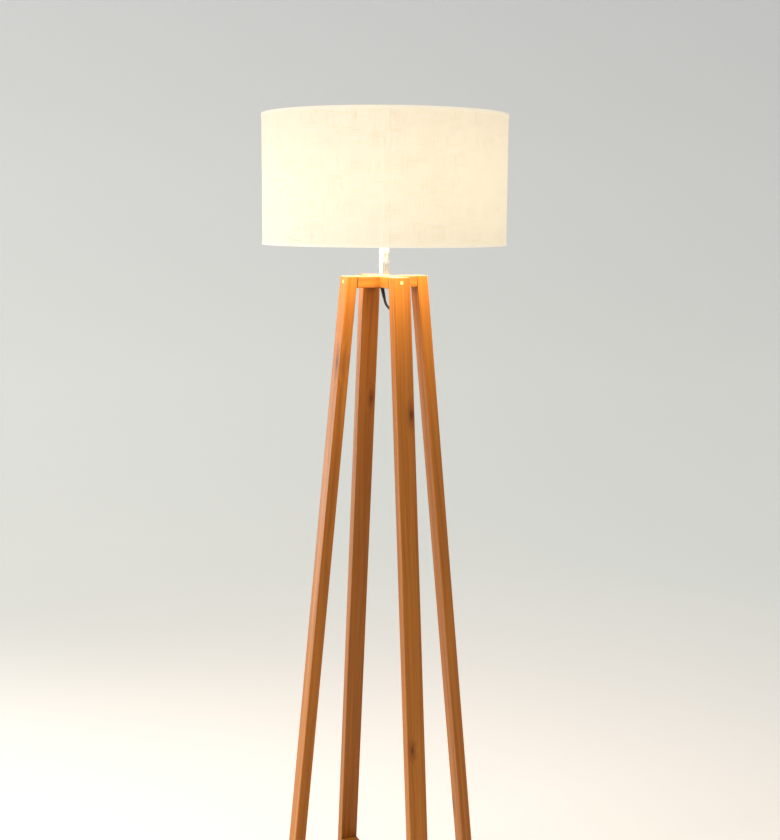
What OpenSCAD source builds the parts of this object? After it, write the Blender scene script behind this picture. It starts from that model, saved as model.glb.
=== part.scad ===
// Four-legged timber floor lamp with a drum shade, standing on the floor with its axis on Z.
// Each leg lies over one axis: front is -Y, right is +X, back is +Y and left is -X.

/* [Timber] */
// Height of the head's top face above the floor
head_top = 1283; // [1100:1:1400]
// Width of every timber bar, across its wide face
bar_w = 35; // [32:1:45]
// Thickness of every timber bar
bar_t = 21; // [20:1:26]
// Radius of the eased long edges of the bars
bar_ease = 1.5; // [0.5:0.5:3]
// Lean of each leg from the vertical, in degrees
splay = 5.6; // [4:0.1:7]
// Distance from the lamp's axis to a leg's centre line at the head's top face
leg_r_top = 70; // [65:1:80]
// Height of the foot cross's underside above the floor
cross_z = 65; // [60:1:90]

/* [Shade] */
// Outside diameter of the shade's fabric
shade_d = 450; // [400:10:500]
// Height of the shade over its trims
shade_h = 235; // [220:5:260]
// Gap between the head and the shade's lower edge
shade_gap = 57; // [55:1:70]
// Height of the trim that shows on the fabric
trim_h = 5.5; // [4:0.5:10]
// Direction of the fabric's lapped seam, in degrees from +X
seam_azimuth = 248; // [0:1:359]
// Directions of the three spider arms start here, in degrees from +X
arm_azimuth = 90; // [0:1:119]

/* [Stem] */
// Outside diameter of the stem
stem_d = 19; // [18:1:24]
// Diameter of the stem's threaded spigot through the head
spigot_d = 16; // [14:1:17]
// Diameter of the bore down the stem
stem_bore = 13; // [11:1:13]

/* [Cord] */
// Diameter of the round two-core cord
cord_d = 5; // [4.5:0.1:5.5]
// Distance of the cord's outlet from the lamp's axis
outlet_offset = 4; // [0:0.5:6]
// Direction of the cord's outlet from the axis, in degrees from +X
outlet_azimuth = 155; // [0:1:359]
// Mean radius of the stored coil's turns
coil_r = 29; // [25:1:32]

/* [Hidden] */

circle_fn = 64;
eps = 0.02;
far = 400;                                  // longer than any part that a cutting block has to clear

// heights up the lamp
glide_h = 3;
glide_d = 18;
head_z = head_top - bar_t;
lap_z = bar_t / 2;
shade_z = head_top + shade_gap;
shade_top = shade_z + shade_h;
shade_r = shade_d / 2;
leg_half = bar_t / 2 / cos(splay);          // half a leg's thickness, measured level

// fasteners in the timber
screw_d = 5;
screw_head_d = 7.8;
screw_head_h = 4;
screw_l = 58;
plug_d = 8;
plug_l = 6;
plug_proud = 0.3;
dowel_d = 6;
dowel_l = 32;
dowel_side = 11;

// stem and its fixing
recess_d = 27;
recess_h = 8;
washer_h = 1.5;
ring_nut_h = 4.5;
spigot_z = head_z + recess_h - washer_h - ring_nut_h;
stem_top = shade_z + 4;
outlet_flange_h = 1.8;
outlet_tip = [0.5, 0, 1241];                // middle of the outlet's tip
thread_d = 10;
nipple_bore = 7.5;

// lampholder, all heights from its foot
holder_z = stem_top + 2;
holder_r = 19.5;
shoulder_r = 23;
sleeve_in = 17;
cap_h = 20;
shoulder_h = 3;
sleeve_h = 32;
sleeve_z = holder_z + cap_h;
seat_z = sleeve_z + shoulder_h;
insert_z = sleeve_z + 2;
insert_h = 10;
contact_z = insert_z + insert_h;
fitter_t = 2.5;
ring_h = 8;
part_gap = 0.3;                             // clearance between curved faces that turn past each other

// bulb, all heights from its tip
tip_z = contact_z + 2.2;
cap_r = 13.2;
cap_z = tip_z + 6;
neck_z = tip_z + 25;
rim_z = tip_z + 62;
dome_r = 30;
rim_r = 25.4;
dome_c = rim_z + sqrt(dome_r * dome_r - rim_r * rim_r);
dome_t = 1.2;
board_r = rim_r - 1.5;
board_drop = 3;
board_t = 1.6;

// shade
fabric_t = 0.8;
liner_t = 1;
trim_t = 0.6;
wire_r = 2;
skin_in = shade_r - fabric_t - liner_t;
wire_ring_r = skin_in - wire_r;
wire_low = shade_z + trim_t + wire_r;
wire_high = shade_top - trim_t - wire_r;
fitter_in = holder_r + part_gap + 0.5;
fitter_out = 27;
nut_out = 26.5;
seam_w = 12;
seam_t = 0.4;

// cord route: where the cord is not coiled, its centre line passes through these points
cord_r = cord_d / 2;
drop_route = [
    [0.5, 0, 1240.4], [1.3, -0.35, 1236.8], [2.6, -1, 1232.5], [4.7, -2.2, 1228], [7.4, -4.3, 1224],
    [10.2, -7.4, 1220.5], [12.4, -12, 1217], [13.2, -18, 1213.2], [13, -24.5, 1209], [11.8, -31.5, 1203.5],
    [9.8, -38.5, 1196], [7.2, -45.5, 1185.5], [4.6, -52, 1171.5], [2.3, -58.5, 1154], [0.8, -64.5, 1135],
    [0.1, -69.4, 1119], [0, -73.3, 1110], [0, -83.3, 1008], [0, -103.3, 804], [0, -123.3, 599], [0, -143.3, 395],
    [0, -158.3, 242], [0, -163.3, 191], [-3, -165.3, 165], [-11, -165, 136], [-20, -163, 108],
    [-26, -160, 78], [-31, -154, 50], [-37, -145, 27], [-42, -133, 13], [-45.2, -122, 7.6],
    [-46, -115, 6], [-46, -112.5, 6], [-46, -110, 6]];
tail_route = [
    [-46, -8, 6], [-46, -5.5, 6], [-46, -3, 6], [-47.5, 6, 4], [-52.5, 15, 2.7], [-62, 20, 2.6], [-74, 18, 2.6],
    [-82, 8, 2.6], [-85, -6, 2.6], [-86, -25, 2.6], [-86, -45, 2.8], [-85.8, -62, 3.2], [-85.8, -75, 3.4]];
plug_route = [
    [-120, -109.2, 8.4], [-127, -109.4, 8.2], [-134, -109.8, 7.5], [-140, -110, 7], [-142, -110, 7]];

// coil and its tie, lying on the floor
coil_at = [-120, -75, 0];
coil_pitch = 5.2;
coil_turns_wide = 3;
coil_lift = 0.9;
coil_h = 2 * coil_pitch - 0.2;
coil_wide = coil_turns_wide * coil_pitch;
tie_w = 7;
tie_t = 0.8;

// clips on the front leg's inner face
clip_heights = [1084, 900, 640, 380, 215];
clip_l = 8;
clip_t = 1.6;

// foot switch in the cord, lying along Y
switch_at = [-46, -59, 0];
switch_l = 62;
switch_w = 34;
switch_base_h = 7;
switch_h = 19;
switch_wall = 2;
button_r = 11;
button_top = 24;
button_flange_z = 13;
button_flange_h = switch_h - switch_wall - button_flange_z - 0.1;
relief_l = 20;
relief_z = 6;

// plug, lying along -X from the end of its lead
plug_at = [-142, -110, 7];
plug_relief_l = 22;
plug_body_l = 34;
plug_w = 35;
plug_t = 14;
pin_l = 19;
pin_space = 19;

// ---- shared shapes ----

// level distance from the axis to a leg's centre line at height z
function leg_r(z) = leg_r_top + tan(splay) * (head_top - z);

// turns the children to each of the four legs
module each_leg() {
    for (turn = [0 : 90 : 270])
        rotate([0, 0, turn]) children();
}

// places children on a leg's centre line over +X at height z, leaning with the leg
module on_leg(z) {
    translate([leg_r(z), 0, z])
        rotate([0, -splay, 0]) children();
}

// rectangle with eased corners
module eased_rect(w, t, r) {
    square([w - 2 * r, t], center = true);
    square([w, t - 2 * r], center = true);
    for (x = [-1, 1], y = [-1, 1])
        translate([x * (w / 2 - r), y * (t / 2 - r)]) circle(r, $fn = 32);
}

// everything outward of a leg's inner face, over +X
module beyond_leg(z) {
    on_leg(z)
        translate([-bar_t / 2, -far / 2, -far / 2]) cube([far, far, far]);
}

// bar lying along X at height z, cut at both ends to the slope of the legs
module level_bar(z) {
    reach = leg_r(z);
    difference() {
        translate([-reach, 0, z + bar_t / 2])
            rotate([90, 0, 90])
                linear_extrude(2 * reach) eased_rect(bar_w, bar_t, bar_ease);
        beyond_leg(z);
        mirror([1, 0, 0]) beyond_leg(z);
    }
}

// block that cuts half a lap joint: side 1 takes the upper half, side -1 the lower half
module lap_cut(z, side) {
    low = side > 0 ? z + lap_z : z - 1;
    translate([-bar_w / 2, -bar_w, low]) cube([bar_w, 2 * bar_w, lap_z + 1]);
}

module ring(r_in, r_out, h) {
    difference() {
        cylinder(h = h, r = r_out, $fn = circle_fn);
        translate([0, 0, -1]) cylinder(h = h + 2, r = r_in, $fn = circle_fn);
    }
}

// hole or peg along X from a leg's outer face inward, at height z of a beam that starts at z_beam
module leg_bore(z, d, start, l) {
    translate([leg_r(z) + leg_half - start - l, 0, z])
        rotate([0, 90, 0]) cylinder(h = l, d = d, $fn = 32);
}

module wood_screw(z) {
    leg_bore(z, screw_head_d, plug_l, screw_head_h);
    leg_bore(z, screw_d, plug_l + screw_head_h, screw_l - screw_head_h);
}

module screw_plug(z) {
    leg_bore(z, plug_d, -plug_proud, plug_l + plug_proud);
}

module dowel_pair(z) {
    for (side = [-1, 1])
        translate([0, side * dowel_side, 0])
            leg_bore(z, dowel_d, bar_t - dowel_l / 2 + 1, dowel_l);
}

// all holes that a beam joint needs in the leg and in the beam end
module joint_holes(z) {
    wood_screw(z);
    leg_bore(z, plug_d, -5, plug_l + 5);
    dowel_pair(z);
}

head_joint_z = head_z + bar_t / 2;
foot_joint_z = cross_z + bar_t / 2;

module leg() {
    difference() {
        intersection() {
            on_leg(head_top)
                translate([0, 0, -head_top - 20])
                    rotate([0, 0, 90])
                        linear_extrude(head_top + 60) eased_rect(bar_w, bar_t, bar_ease);
            translate([0, -far / 2, glide_h]) cube([far, far, head_top - glide_h]);
        }
        joint_holes(head_joint_z);
        joint_holes(foot_joint_z);
        translate([leg_r(0), 0, glide_h - 1]) cylinder(h = 13, d = 2, $fn = 32);
    }
}

// ---- tube swept along a list of points ----

function unit(v) = v / norm(v);
function curve_point(p, i, t) =
    let (last = len(p) - 1, a = p[max(i - 1, 0)], b = p[i], c = p[i + 1], d = p[min(i + 2, last)])
    0.5 * (2 * b + (c - a) * t + (2 * a - 5 * b + 4 * c - d) * t * t + (3 * b - a - 3 * c + d) * t * t * t);
function smooth(p, steps) =
    concat([for (i = [0 : len(p) - 2]) for (s = [0 : steps - 1]) curve_point(p, i, s / steps)],
        [p[len(p) - 1]]);
function heading(q, i) = unit(q[min(i + 1, len(q) - 1)] - q[max(i - 1, 0)]);
function side_of(t, old) = unit(old - (old * t) * t);
function sides(q, start, i = 0) =
    i == len(q) ? [] :
    let (now = side_of(heading(q, i), start)) concat([now], sides(q, now, i + 1));

// tube of radius r through the points q; start is any direction across the first heading
module tube(q, r, n, start) {
    across = sides(q, start);
    rings = [for (i = [0 : len(q) - 1])
        let (up = cross(heading(q, i), across[i]))
        for (k = [0 : n - 1]) q[i] + r * (cos(360 * k / n) * across[i] + sin(360 * k / n) * up)];
    walls = [for (i = [0 : len(q) - 2]) for (k = [0 : n - 1])
        [i * n + k, i * n + (k + 1) % n, (i + 1) * n + (k + 1) % n, (i + 1) * n + k]];
    first = [for (k = [n - 1 : -1 : 0]) k];
    last = [for (k = [0 : n - 1]) (len(q) - 1) * n + k];
    polyhedron(rings, concat([first], [last], walls), convexity = 6);
}

// ---- timber ----

module leg_front() { color("peru") rotate([0, 0, 270]) leg(); }
module leg_right() { color("peru") leg(); }
module leg_back() { color("peru") rotate([0, 0, 90]) leg(); }
module leg_left() { color("peru") rotate([0, 0, 180]) leg(); }

// beam from the front leg to the back leg: its lap keeps the upper half
module head_beam_long() {
    color("peru")
        rotate([0, 0, 90])
            difference() {
                level_bar(head_z);
                lap_cut(head_z, -1);
                for (turn = [0, 180]) rotate([0, 0, turn]) joint_holes(head_joint_z);
                translate([0, 0, head_z]) cylinder(h = bar_t + 1, d = spigot_d, $fn = circle_fn);
            }
}

// beam from the left leg to the right leg: its lap keeps the lower half, with the recess for the nut
module head_beam_cross() {
    color("peru")
        difference() {
            level_bar(head_z);
            lap_cut(head_z, 1);
            for (turn = [0, 180]) rotate([0, 0, turn]) joint_holes(head_joint_z);
            translate([0, 0, head_z - 1]) cylinder(h = bar_t, d = spigot_d, $fn = circle_fn);
            translate([0, 0, head_z - 1]) cylinder(h = recess_h + 1, d = recess_d, $fn = circle_fn);
        }
}

module lap_screw_shape(grow) {
    translate([0, 0, cross_z - eps]) cylinder(h = 3 + eps, d = 8 + grow, $fn = 32);
    translate([0, 0, cross_z]) cylinder(h = 17, d = 4 + grow, $fn = 32);
}

module foot_beam_long() {
    color("peru")
        difference() {
            rotate([0, 0, 90])
                difference() {
                    level_bar(cross_z);
                    lap_cut(cross_z, -1);
                    for (turn = [0, 180]) rotate([0, 0, turn]) joint_holes(foot_joint_z);
                }
            lap_screw_shape(0);
        }
}

module foot_beam_cross() {
    color("peru")
        difference() {
            level_bar(cross_z);
            lap_cut(cross_z, 1);
            for (turn = [0, 180]) rotate([0, 0, turn]) joint_holes(foot_joint_z);
            lap_screw_shape(0);
        }
}

module head_screws() { color("silver") each_leg() wood_screw(head_joint_z); }
module foot_screws() { color("silver") each_leg() wood_screw(foot_joint_z); }
module head_dowels() { color("burlywood") each_leg() dowel_pair(head_joint_z); }
module foot_dowels() { color("burlywood") each_leg() dowel_pair(foot_joint_z); }

// plugs over the screw heads, cut to the leg's slope just proud of its face
module face_plugs(z) {
    each_leg()
        intersection() {
            leg_bore(z, plug_d, -4, plug_l + 4);
            on_leg(z)
                translate([-far + bar_t / 2 + plug_proud, -far / 2, -far / 2]) cube([far, far, far]);
        }
}
module head_plugs() { color("wheat") face_plugs(head_joint_z); }
module foot_plugs() { color("wheat") face_plugs(foot_joint_z); }

module lap_screw() { color("silver") lap_screw_shape(0); }

module foot_glides() {
    color("dimgray")
        each_leg()
            translate([leg_r(0), 0, 0])
                difference() {
                    cylinder(h = glide_h, d = glide_d, $fn = circle_fn);
                    translate([0, 0, 1]) cylinder(h = glide_h, d = 2, $fn = 32);
                }
}

module glide_nails() {
    color("silver")
        each_leg()
            translate([leg_r(0), 0, 1]) cylinder(h = 14, d = 2, $fn = 32);
}

// ---- stem ----

module stem_tube() {
    color("silver")
        difference() {
            union() {
                translate([0, 0, head_top]) cylinder(h = stem_top - head_top, d = stem_d, $fn = circle_fn);
                translate([0, 0, spigot_z])
                    cylinder(h = head_top - spigot_z + eps, d = spigot_d, $fn = circle_fn);
            }
            translate([0, 0, spigot_z - 1])
                cylinder(h = stem_top - spigot_z + 2, d = stem_bore, $fn = circle_fn);
        }
}

module stem_washer() {
    color("silver")
        translate([0, 0, spigot_z + ring_nut_h]) ring(spigot_d / 2, recess_d / 2 - 0.5, washer_h);
}

module stem_ring_nut() {
    color("silver")
        translate([0, 0, spigot_z]) ring(spigot_d / 2, recess_d / 2 - 1.5, ring_nut_h);
}

// black outlet that closes the stem's lower end, with a tapered relief round the cord
module cord_outlet() {
    spot = [outlet_offset * cos(outlet_azimuth), outlet_offset * sin(outlet_azimuth)];
    nose_z = spigot_z - outlet_flange_h;
    color("black") {
        translate([0, 0, spigot_z - eps]) cylinder(h = 8, d = stem_bore, $fn = circle_fn);
        translate([0, 0, nose_z]) cylinder(h = outlet_flange_h, r = 11, $fn = circle_fn);
        hull() {
            translate([spot.x, spot.y, nose_z]) cylinder(h = eps, r = cord_r + 1.4, $fn = 32);
            translate(outlet_tip) cylinder(h = eps, r = cord_r + 0.4, $fn = 32);
        }
    }
}

module stem_top_plug() {
    color("silver")
        difference() {
            union() {
                translate([0, 0, stem_top - 12]) cylinder(h = 12 + eps, d = stem_bore, $fn = circle_fn);
                translate([0, 0, stem_top]) cylinder(h = 2, d = stem_d, $fn = circle_fn);
            }
            translate([0, 0, stem_top - 13]) cylinder(h = 16, d = thread_d, $fn = circle_fn);
        }
}

module threaded_nipple() {
    color("goldenrod")
        translate([0, 0, stem_top - 10]) ring(nipple_bore / 2, thread_d / 2, 22);
}

// ---- lampholder ----

module holder_cap() {
    wall = 2;
    color("white")
        translate([0, 0, holder_z])
            rotate_extrude($fn = circle_fn)
                polygon([[thread_d / 2, 0], [9, 0], [9.5, 3], [13, 6], [17, 10], [holder_r, 15],
                    [holder_r, cap_h], [holder_r - wall, cap_h], [holder_r - wall, 16], [15.5, 11.5],
                    [12, 8], [8, 5], [thread_d / 2, 5]]);
}

module holder_sleeve() {
    lip = 15.2;
    color("white")
        translate([0, 0, sleeve_z])
            rotate_extrude($fn = circle_fn)
                polygon([[sleeve_in, 0], [shoulder_r, 0], [shoulder_r, shoulder_h], [holder_r, shoulder_h],
                    [holder_r, sleeve_h], [lip, sleeve_h], [lip, sleeve_h - 2], [sleeve_in, sleeve_h - 2]]);
}

module holder_insert() {
    color("ivory")
        difference() {
            translate([0, 0, insert_z]) cylinder(h = insert_h, r = sleeve_in, $fn = circle_fn);
            for (side = [-1, 1])
                translate([side * 10, 0, insert_z - 1]) cylinder(h = 7, r = 2, $fn = 32);
        }
}

module terminal_screws() {
    color("goldenrod")
        for (side = [-1, 1])
            translate([side * 10, 0, insert_z - 2]) {
                cylinder(h = 2, r = 3, $fn = 32);
                cylinder(h = 8, r = 2, $fn = 32);
            }
}

module holder_screw_shell() {
    color("gold")
        translate([0, 0, contact_z]) ring(cap_r + 0.5, cap_r + 1.2, 18);
}

module holder_contact() {
    color("gold")
        translate([0, 0, contact_z]) {
            cylinder(h = 1, r = 6, $fn = circle_fn);
            cylinder(h = 2, r = 3, $fn = circle_fn);
        }
}

module shade_ring_nut() {
    color("white")
        translate([0, 0, seat_z + fitter_t + 0.2])
            difference() {
                ring(holder_r + part_gap, nut_out, ring_h);
                for (turn = [0 : 20 : 340])
                    rotate([0, 0, turn])
                        translate([nut_out + 0.7, 0, -1]) cylinder(h = ring_h + 2, r = 1.5, $fn = 24);
            }
}

// ---- bulb ----

module bulb_tip() {
    color("silver") translate([0, 0, tip_z]) cylinder(h = 2, r = 4.5, $fn = circle_fn);
}

module bulb_insulator() {
    color("black")
        translate([0, 0, tip_z + 2]) cylinder(h = cap_z - tip_z - 2, r1 = 4.5, r2 = cap_r, $fn = circle_fn);
}

module bulb_cap() {
    color("silver")
        translate([0, 0, cap_z]) ring(cap_r - 0.6, cap_r, neck_z - cap_z);
}

// hollow neck that widens to the dome's rim
module bulb_body() {
    rise = rim_z - neck_z;
    color("white")
        translate([0, 0, neck_z])
            rotate_extrude($fn = circle_fn)
                polygon([[11, 0], [cap_r + 0.6, 0], [15, 4], [18.5, 12], [22, 21], [24.5, 30], [rim_r, rise],
                    [board_r, rise], [board_r, rise - board_drop], [board_r - 1, rise - board_drop],
                    [board_r - 1, 30], [20.4, 21], [16.9, 12], [13.4, 4], [11, 2]]);
}

module bulb_dome() {
    color("ivory")
        intersection() {
            translate([0, 0, dome_c])
                difference() {
                    sphere(dome_r, $fn = circle_fn);
                    sphere(dome_r - dome_t, $fn = circle_fn);
                }
            translate([0, 0, rim_z]) cylinder(h = 2 * dome_r, r = 2 * dome_r, $fn = circle_fn);
        }
}

module led_board() {
    color("white") translate([0, 0, rim_z - board_drop]) cylinder(h = board_t, r = board_r, $fn = circle_fn);
}

module led_chips() {
    color("gold")
        for (turn = [0 : 45 : 315])
            rotate([0, 0, turn])
                translate([14, -1.5, rim_z - board_drop + board_t]) cube([3, 3, 0.8]);
}

// ---- shade ----

module shade_fabric() {
    color("linen")
        translate([0, 0, shade_z + trim_t]) ring(shade_r - fabric_t, shade_r, shade_h - 2 * trim_t);
}

module shade_liner() {
    color("white")
        translate([0, 0, shade_z + trim_t]) ring(skin_in, shade_r - fabric_t, shade_h - 2 * trim_t);
}

// lap of the fabric where its two ends meet
module shade_seam() {
    color("linen")
        rotate([0, 0, seam_azimuth])
            intersection() {
                translate([0, 0, shade_z + trim_h]) ring(shade_r, shade_r + seam_t, shade_h - 2 * trim_h);
                translate([0, -seam_w / 2, 0]) cube([shade_d, seam_w, shade_top + 1]);
            }
}

module wire_ring(z) {
    translate([0, 0, z])
        rotate_extrude($fn = circle_fn)
            translate([wire_ring_r, 0]) circle(wire_r, $fn = 32);
}

module shade_top_wire() { color("white") wire_ring(wire_high); }
module shade_bottom_wire() { color("white") wire_ring(wire_low); }

module fitter_ring() {
    translate([0, 0, seat_z + 0.1]) ring(fitter_in, fitter_out, fitter_t);
}

module shade_fitter() { color("white") fitter_ring(); }

// three straight arms from the lower wire up to the fitter ring
module shade_arms() {
    end_z = seat_z + 0.1 + fitter_t / 2;
    end_r = (fitter_in + fitter_out) / 2;
    run = wire_ring_r - end_r;
    rise = end_z - wire_low;
    color("white")
        difference() {
            for (turn = [0 : 120 : 240])
                rotate([0, 0, arm_azimuth + turn])
                    translate([wire_ring_r, 0, wire_low])
                        rotate([0, atan2(-run, rise), 0])
                            cylinder(h = norm([run, rise]), r = 1.75, $fn = 32);
            wire_ring(wire_low);
            translate([0, 0, seat_z - 5]) cylinder(h = 20, r = fitter_out, $fn = circle_fn);
        }
}

// trim folded over an edge: side 1 opens upward, side -1 downward
module edge_trim(z, side) {
    translate([0, 0, z])
        mirror([0, 0, side < 0 ? 1 : 0])
            rotate_extrude($fn = circle_fn)
                polygon([[wire_ring_r - wire_r, 0], [shade_r + trim_t, 0], [shade_r + trim_t, trim_h],
                    [shade_r, trim_h], [shade_r, trim_t], [wire_ring_r - wire_r, trim_t]]);
}

module shade_trim_top() { color("white") edge_trim(shade_top, -1); }
module shade_trim_bottom() { color("white") edge_trim(shade_z, 1); }

// ---- cord ----

module cord_in_stem() {
    color("black") translate([0, 0, spigot_z + 8]) cylinder(h = 83, r = cord_r, $fn = 32);
}

module cord_drop() { color("black") tube(smooth(drop_route, 2), cord_r, 10, [1, 0, 0]); }
module cord_tail() { color("black") tube(smooth(tail_route, 2), cord_r, 10, [1, 0, 0]); }
module cord_plug_end() { color("black") tube(plug_route, cord_r, 10, [0, 1, 0]); }

// the outer shape of the wound turns
module cord_coil() {
    color("black")
        translate(coil_at + [0, 0, coil_lift]) ring(coil_r - coil_wide / 2, coil_r + coil_wide / 2, coil_h);
}

module coil_tie() {
    color("dimgray")
        translate(coil_at + [0, coil_r, 0])
            difference() {
                translate([-tie_w / 2, -coil_wide / 2 - tie_t - 0.6, 0])
                    cube([tie_w, coil_wide + 2 * tie_t + 0.6, coil_h + coil_lift + tie_t]);
                translate([0, -coil_r, coil_lift])
                    ring(coil_r - coil_wide / 2, coil_r + coil_wide / 2, coil_h);
            }
}

// saddle clips that hold the cord to the front leg, open towards the leg
module cord_clips() {
    inside = cord_r + 0.4;
    off = cord_r + 0.65;                    // cord's centre line from the leg's face
    color("black")
        for (z = clip_heights)
            rotate([0, 0, 270])
                on_leg(z)
                    translate([-bar_t / 2, 0, 0])
                        difference() {
                            translate([-off - inside - clip_t, -inside - 4, -clip_l / 2])
                                cube([off + inside + clip_t, 2 * inside + 8, clip_l]);
                            translate([-off, 0, -clip_l]) cylinder(h = 2 * clip_l, r = inside, $fn = 32);
                            translate([-off, -inside, -clip_l]) cube([2 * off, 2 * inside, 2 * clip_l]);
                        }
}

// ---- foot switch ----

module switch_outline(inset) {
    for (y = [-1, 1])
        translate([0, y * (switch_l - switch_w) / 2]) circle(switch_w / 2 - inset, $fn = circle_fn);
    square([switch_w - 2 * inset, switch_l - switch_w], center = true);
}

module cord_way() {
    translate([0, -switch_l, relief_z])
        rotate([-90, 0, 0]) cylinder(h = 2 * switch_l, r = cord_r + 1.5, $fn = 32);
}

module switch_base() {
    color("black")
        translate(switch_at)
            difference() {
                linear_extrude(switch_base_h) switch_outline(0);
                translate([0, 0, switch_wall]) linear_extrude(switch_base_h) switch_outline(switch_wall);
                cord_way();
            }
}

module switch_cover() {
    color("black")
        translate(switch_at)
            difference() {
                translate([0, 0, switch_base_h]) linear_extrude(switch_h - switch_base_h) switch_outline(0);
                translate([0, 0, switch_base_h - 1])
                    linear_extrude(switch_h - switch_base_h - switch_wall + 1) switch_outline(switch_wall);
                cord_way();
                cylinder(h = switch_h + 1, r = button_r + part_gap, $fn = circle_fn);
            }
}

module switch_button() {
    color("dimgray")
        translate(switch_at) {
            translate([0, 0, button_flange_z]) {
                cylinder(h = button_flange_h, r = button_r + 2, $fn = circle_fn);
                cylinder(h = button_top - button_flange_z, r = button_r, $fn = circle_fn);
            }
        }
}

// coil spring under the button
module switch_spring() {
    turns = 4;
    steps = 12;
    low = switch_wall + 0.6;
    high = button_flange_z - 0.7;
    path = [for (i = [0 : turns * steps])
        let (a = 360 * i / steps)
        [6 * cos(a), 6 * sin(a), low + (high - low) * i / (turns * steps)]];
    color("silver") translate(switch_at) tube(path, 0.5, 6, [1, 0, 0]);
}

// tapered reliefs where the cord enters and leaves the switch
module switch_reliefs() {
    color("black")
        translate(switch_at + [0, 0, relief_z])
            for (turn = [0, 180])
                rotate([0, 0, turn])
                    translate([0, switch_l / 2 - switch_wall, 0])
                        rotate([-90, 0, 0]) {
                            cylinder(h = switch_wall, r = cord_r + 1.5, $fn = 32);
                            translate([0, 0, switch_wall])
                                cylinder(h = relief_l, r1 = cord_r + 1.5, r2 = cord_r + 0.4, $fn = 32);
                        }
}

// ---- plug ----

module plug_body() {
    grip = 3;
    color("black")
        translate(plug_at)
            rotate([0, -90, 0]) {
                cylinder(h = plug_relief_l, r1 = cord_r + 0.4, r2 = cord_r + 2, $fn = 32);
                translate([0, 0, plug_relief_l])
                    hull() {
                        linear_extrude(1) eased_rect(plug_t - 3, 12, grip);
                        translate([0, 0, 14])
                            linear_extrude(plug_body_l - 14) eased_rect(plug_t, plug_w, grip);
                    }
            }
}

module plug_pins() {
    color("silver")
        translate(plug_at + [-plug_relief_l - plug_body_l, 0, 0])
            for (side = [-1, 1])
                translate([0, side * pin_space / 2, 0])
                    rotate([0, -90, 0]) cylinder(h = pin_l, r = 2, $fn = 32);
}

leg_front();
leg_right();
leg_back();
leg_left();
head_beam_long();
head_beam_cross();
foot_beam_long();
foot_beam_cross();
head_screws();
head_dowels();
head_plugs();
foot_screws();
foot_dowels();
foot_plugs();
lap_screw();
foot_glides();
glide_nails();
stem_tube();
stem_washer();
stem_ring_nut();
cord_outlet();
stem_top_plug();
threaded_nipple();
holder_cap();
holder_sleeve();
holder_insert();
holder_screw_shell();
holder_contact();
terminal_screws();
shade_ring_nut();
bulb_dome();
bulb_body();
bulb_cap();
bulb_insulator();
bulb_tip();
led_board();
led_chips();
shade_fabric();
shade_liner();
shade_seam();
shade_top_wire();
shade_bottom_wire();
shade_arms();
shade_fitter();
shade_trim_top();
shade_trim_bottom();
cord_in_stem();
cord_drop();
cord_tail();
cord_coil();
cord_plug_end();
coil_tie();
cord_clips();
switch_base();
switch_cover();
switch_button();
switch_spring();
switch_reliefs();
plug_body();
plug_pins();
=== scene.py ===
import math

import bmesh
import bpy
import numpy as np
from mathutils import Matrix, Vector


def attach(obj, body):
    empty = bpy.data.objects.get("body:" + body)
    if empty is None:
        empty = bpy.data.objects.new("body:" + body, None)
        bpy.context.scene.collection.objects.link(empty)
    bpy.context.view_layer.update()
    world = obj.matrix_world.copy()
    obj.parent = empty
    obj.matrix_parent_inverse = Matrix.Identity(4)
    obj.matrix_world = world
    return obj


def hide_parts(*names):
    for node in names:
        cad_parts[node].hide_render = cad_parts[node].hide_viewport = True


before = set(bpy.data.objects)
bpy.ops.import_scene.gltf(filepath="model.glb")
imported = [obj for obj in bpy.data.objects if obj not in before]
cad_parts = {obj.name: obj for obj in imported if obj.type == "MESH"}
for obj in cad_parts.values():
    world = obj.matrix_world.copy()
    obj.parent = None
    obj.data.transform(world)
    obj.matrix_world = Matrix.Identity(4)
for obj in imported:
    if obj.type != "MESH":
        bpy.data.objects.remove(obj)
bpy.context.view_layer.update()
mm = 0.001
turn = 2 * math.pi


def linearColour(hexValue):  # an sRGB hex value as the linear colour that a shader takes
    v = np.array([int(hexValue[i:i + 2], 16) for i in (1, 3, 5)]) / 255
    return (*np.where(v <= 0.04045, v / 12.92, ((v + 0.055) / 1.055) ** 2.4).tolist(), 1.0)


def connect(tree, made, feeds):  # a socket is linked, and anything else is set as the input's value
    for socket, value in feeds.items():
        if isinstance(value, bpy.types.NodeSocket):
            tree.links.new(value, made.inputs[socket])
        else:
            made.inputs[socket].default_value = value


def addNode(tree, kind, feeds=None, stops=None, **settings):  # gives back the new node's outputs
    made = tree.nodes.new("ShaderNode" + kind)
    for key, value in settings.items():
        setattr(made, key, value)
    connect(tree, made, feeds or {})
    for i, (place, colour) in enumerate(stops or []):
        points = made.color_ramp.elements
        point = points[i] if i < 2 else points.new(place)
        point.position, point.color = place, linearColour(colour)
    return made.outputs


def blendColours(tree, share, first, second, mode="MIX"):  # hex values or sockets, the second laid over the first
    pair = {key: linearColour(c) if isinstance(c, str) else c for key, c in ((6, first), (7, second))}
    return addNode(tree, "Mix", {0: share, **pair}, data_type="RGBA", blend_type=mode)[2]


def easedRange(tree, value, low, high, first, last):
    return addNode(tree, "MapRange", {0: value, 1: low, 2: high, 3: first, 4: last}, interpolation_type="SMOOTHSTEP")[0]


def calculate(tree, operation, *values):
    return addNode(tree, "Math", dict(enumerate(values)), operation=operation)[0]


def startMaterial(name, **sockets):
    material = bpy.data.materials.new(name)
    material.use_nodes = True
    shader = material.node_tree.nodes["Principled BSDF"]
    connect(material.node_tree, shader, {key.replace("_", " "): value for key, value in sockets.items()})
    return material, material.node_tree, shader


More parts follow.
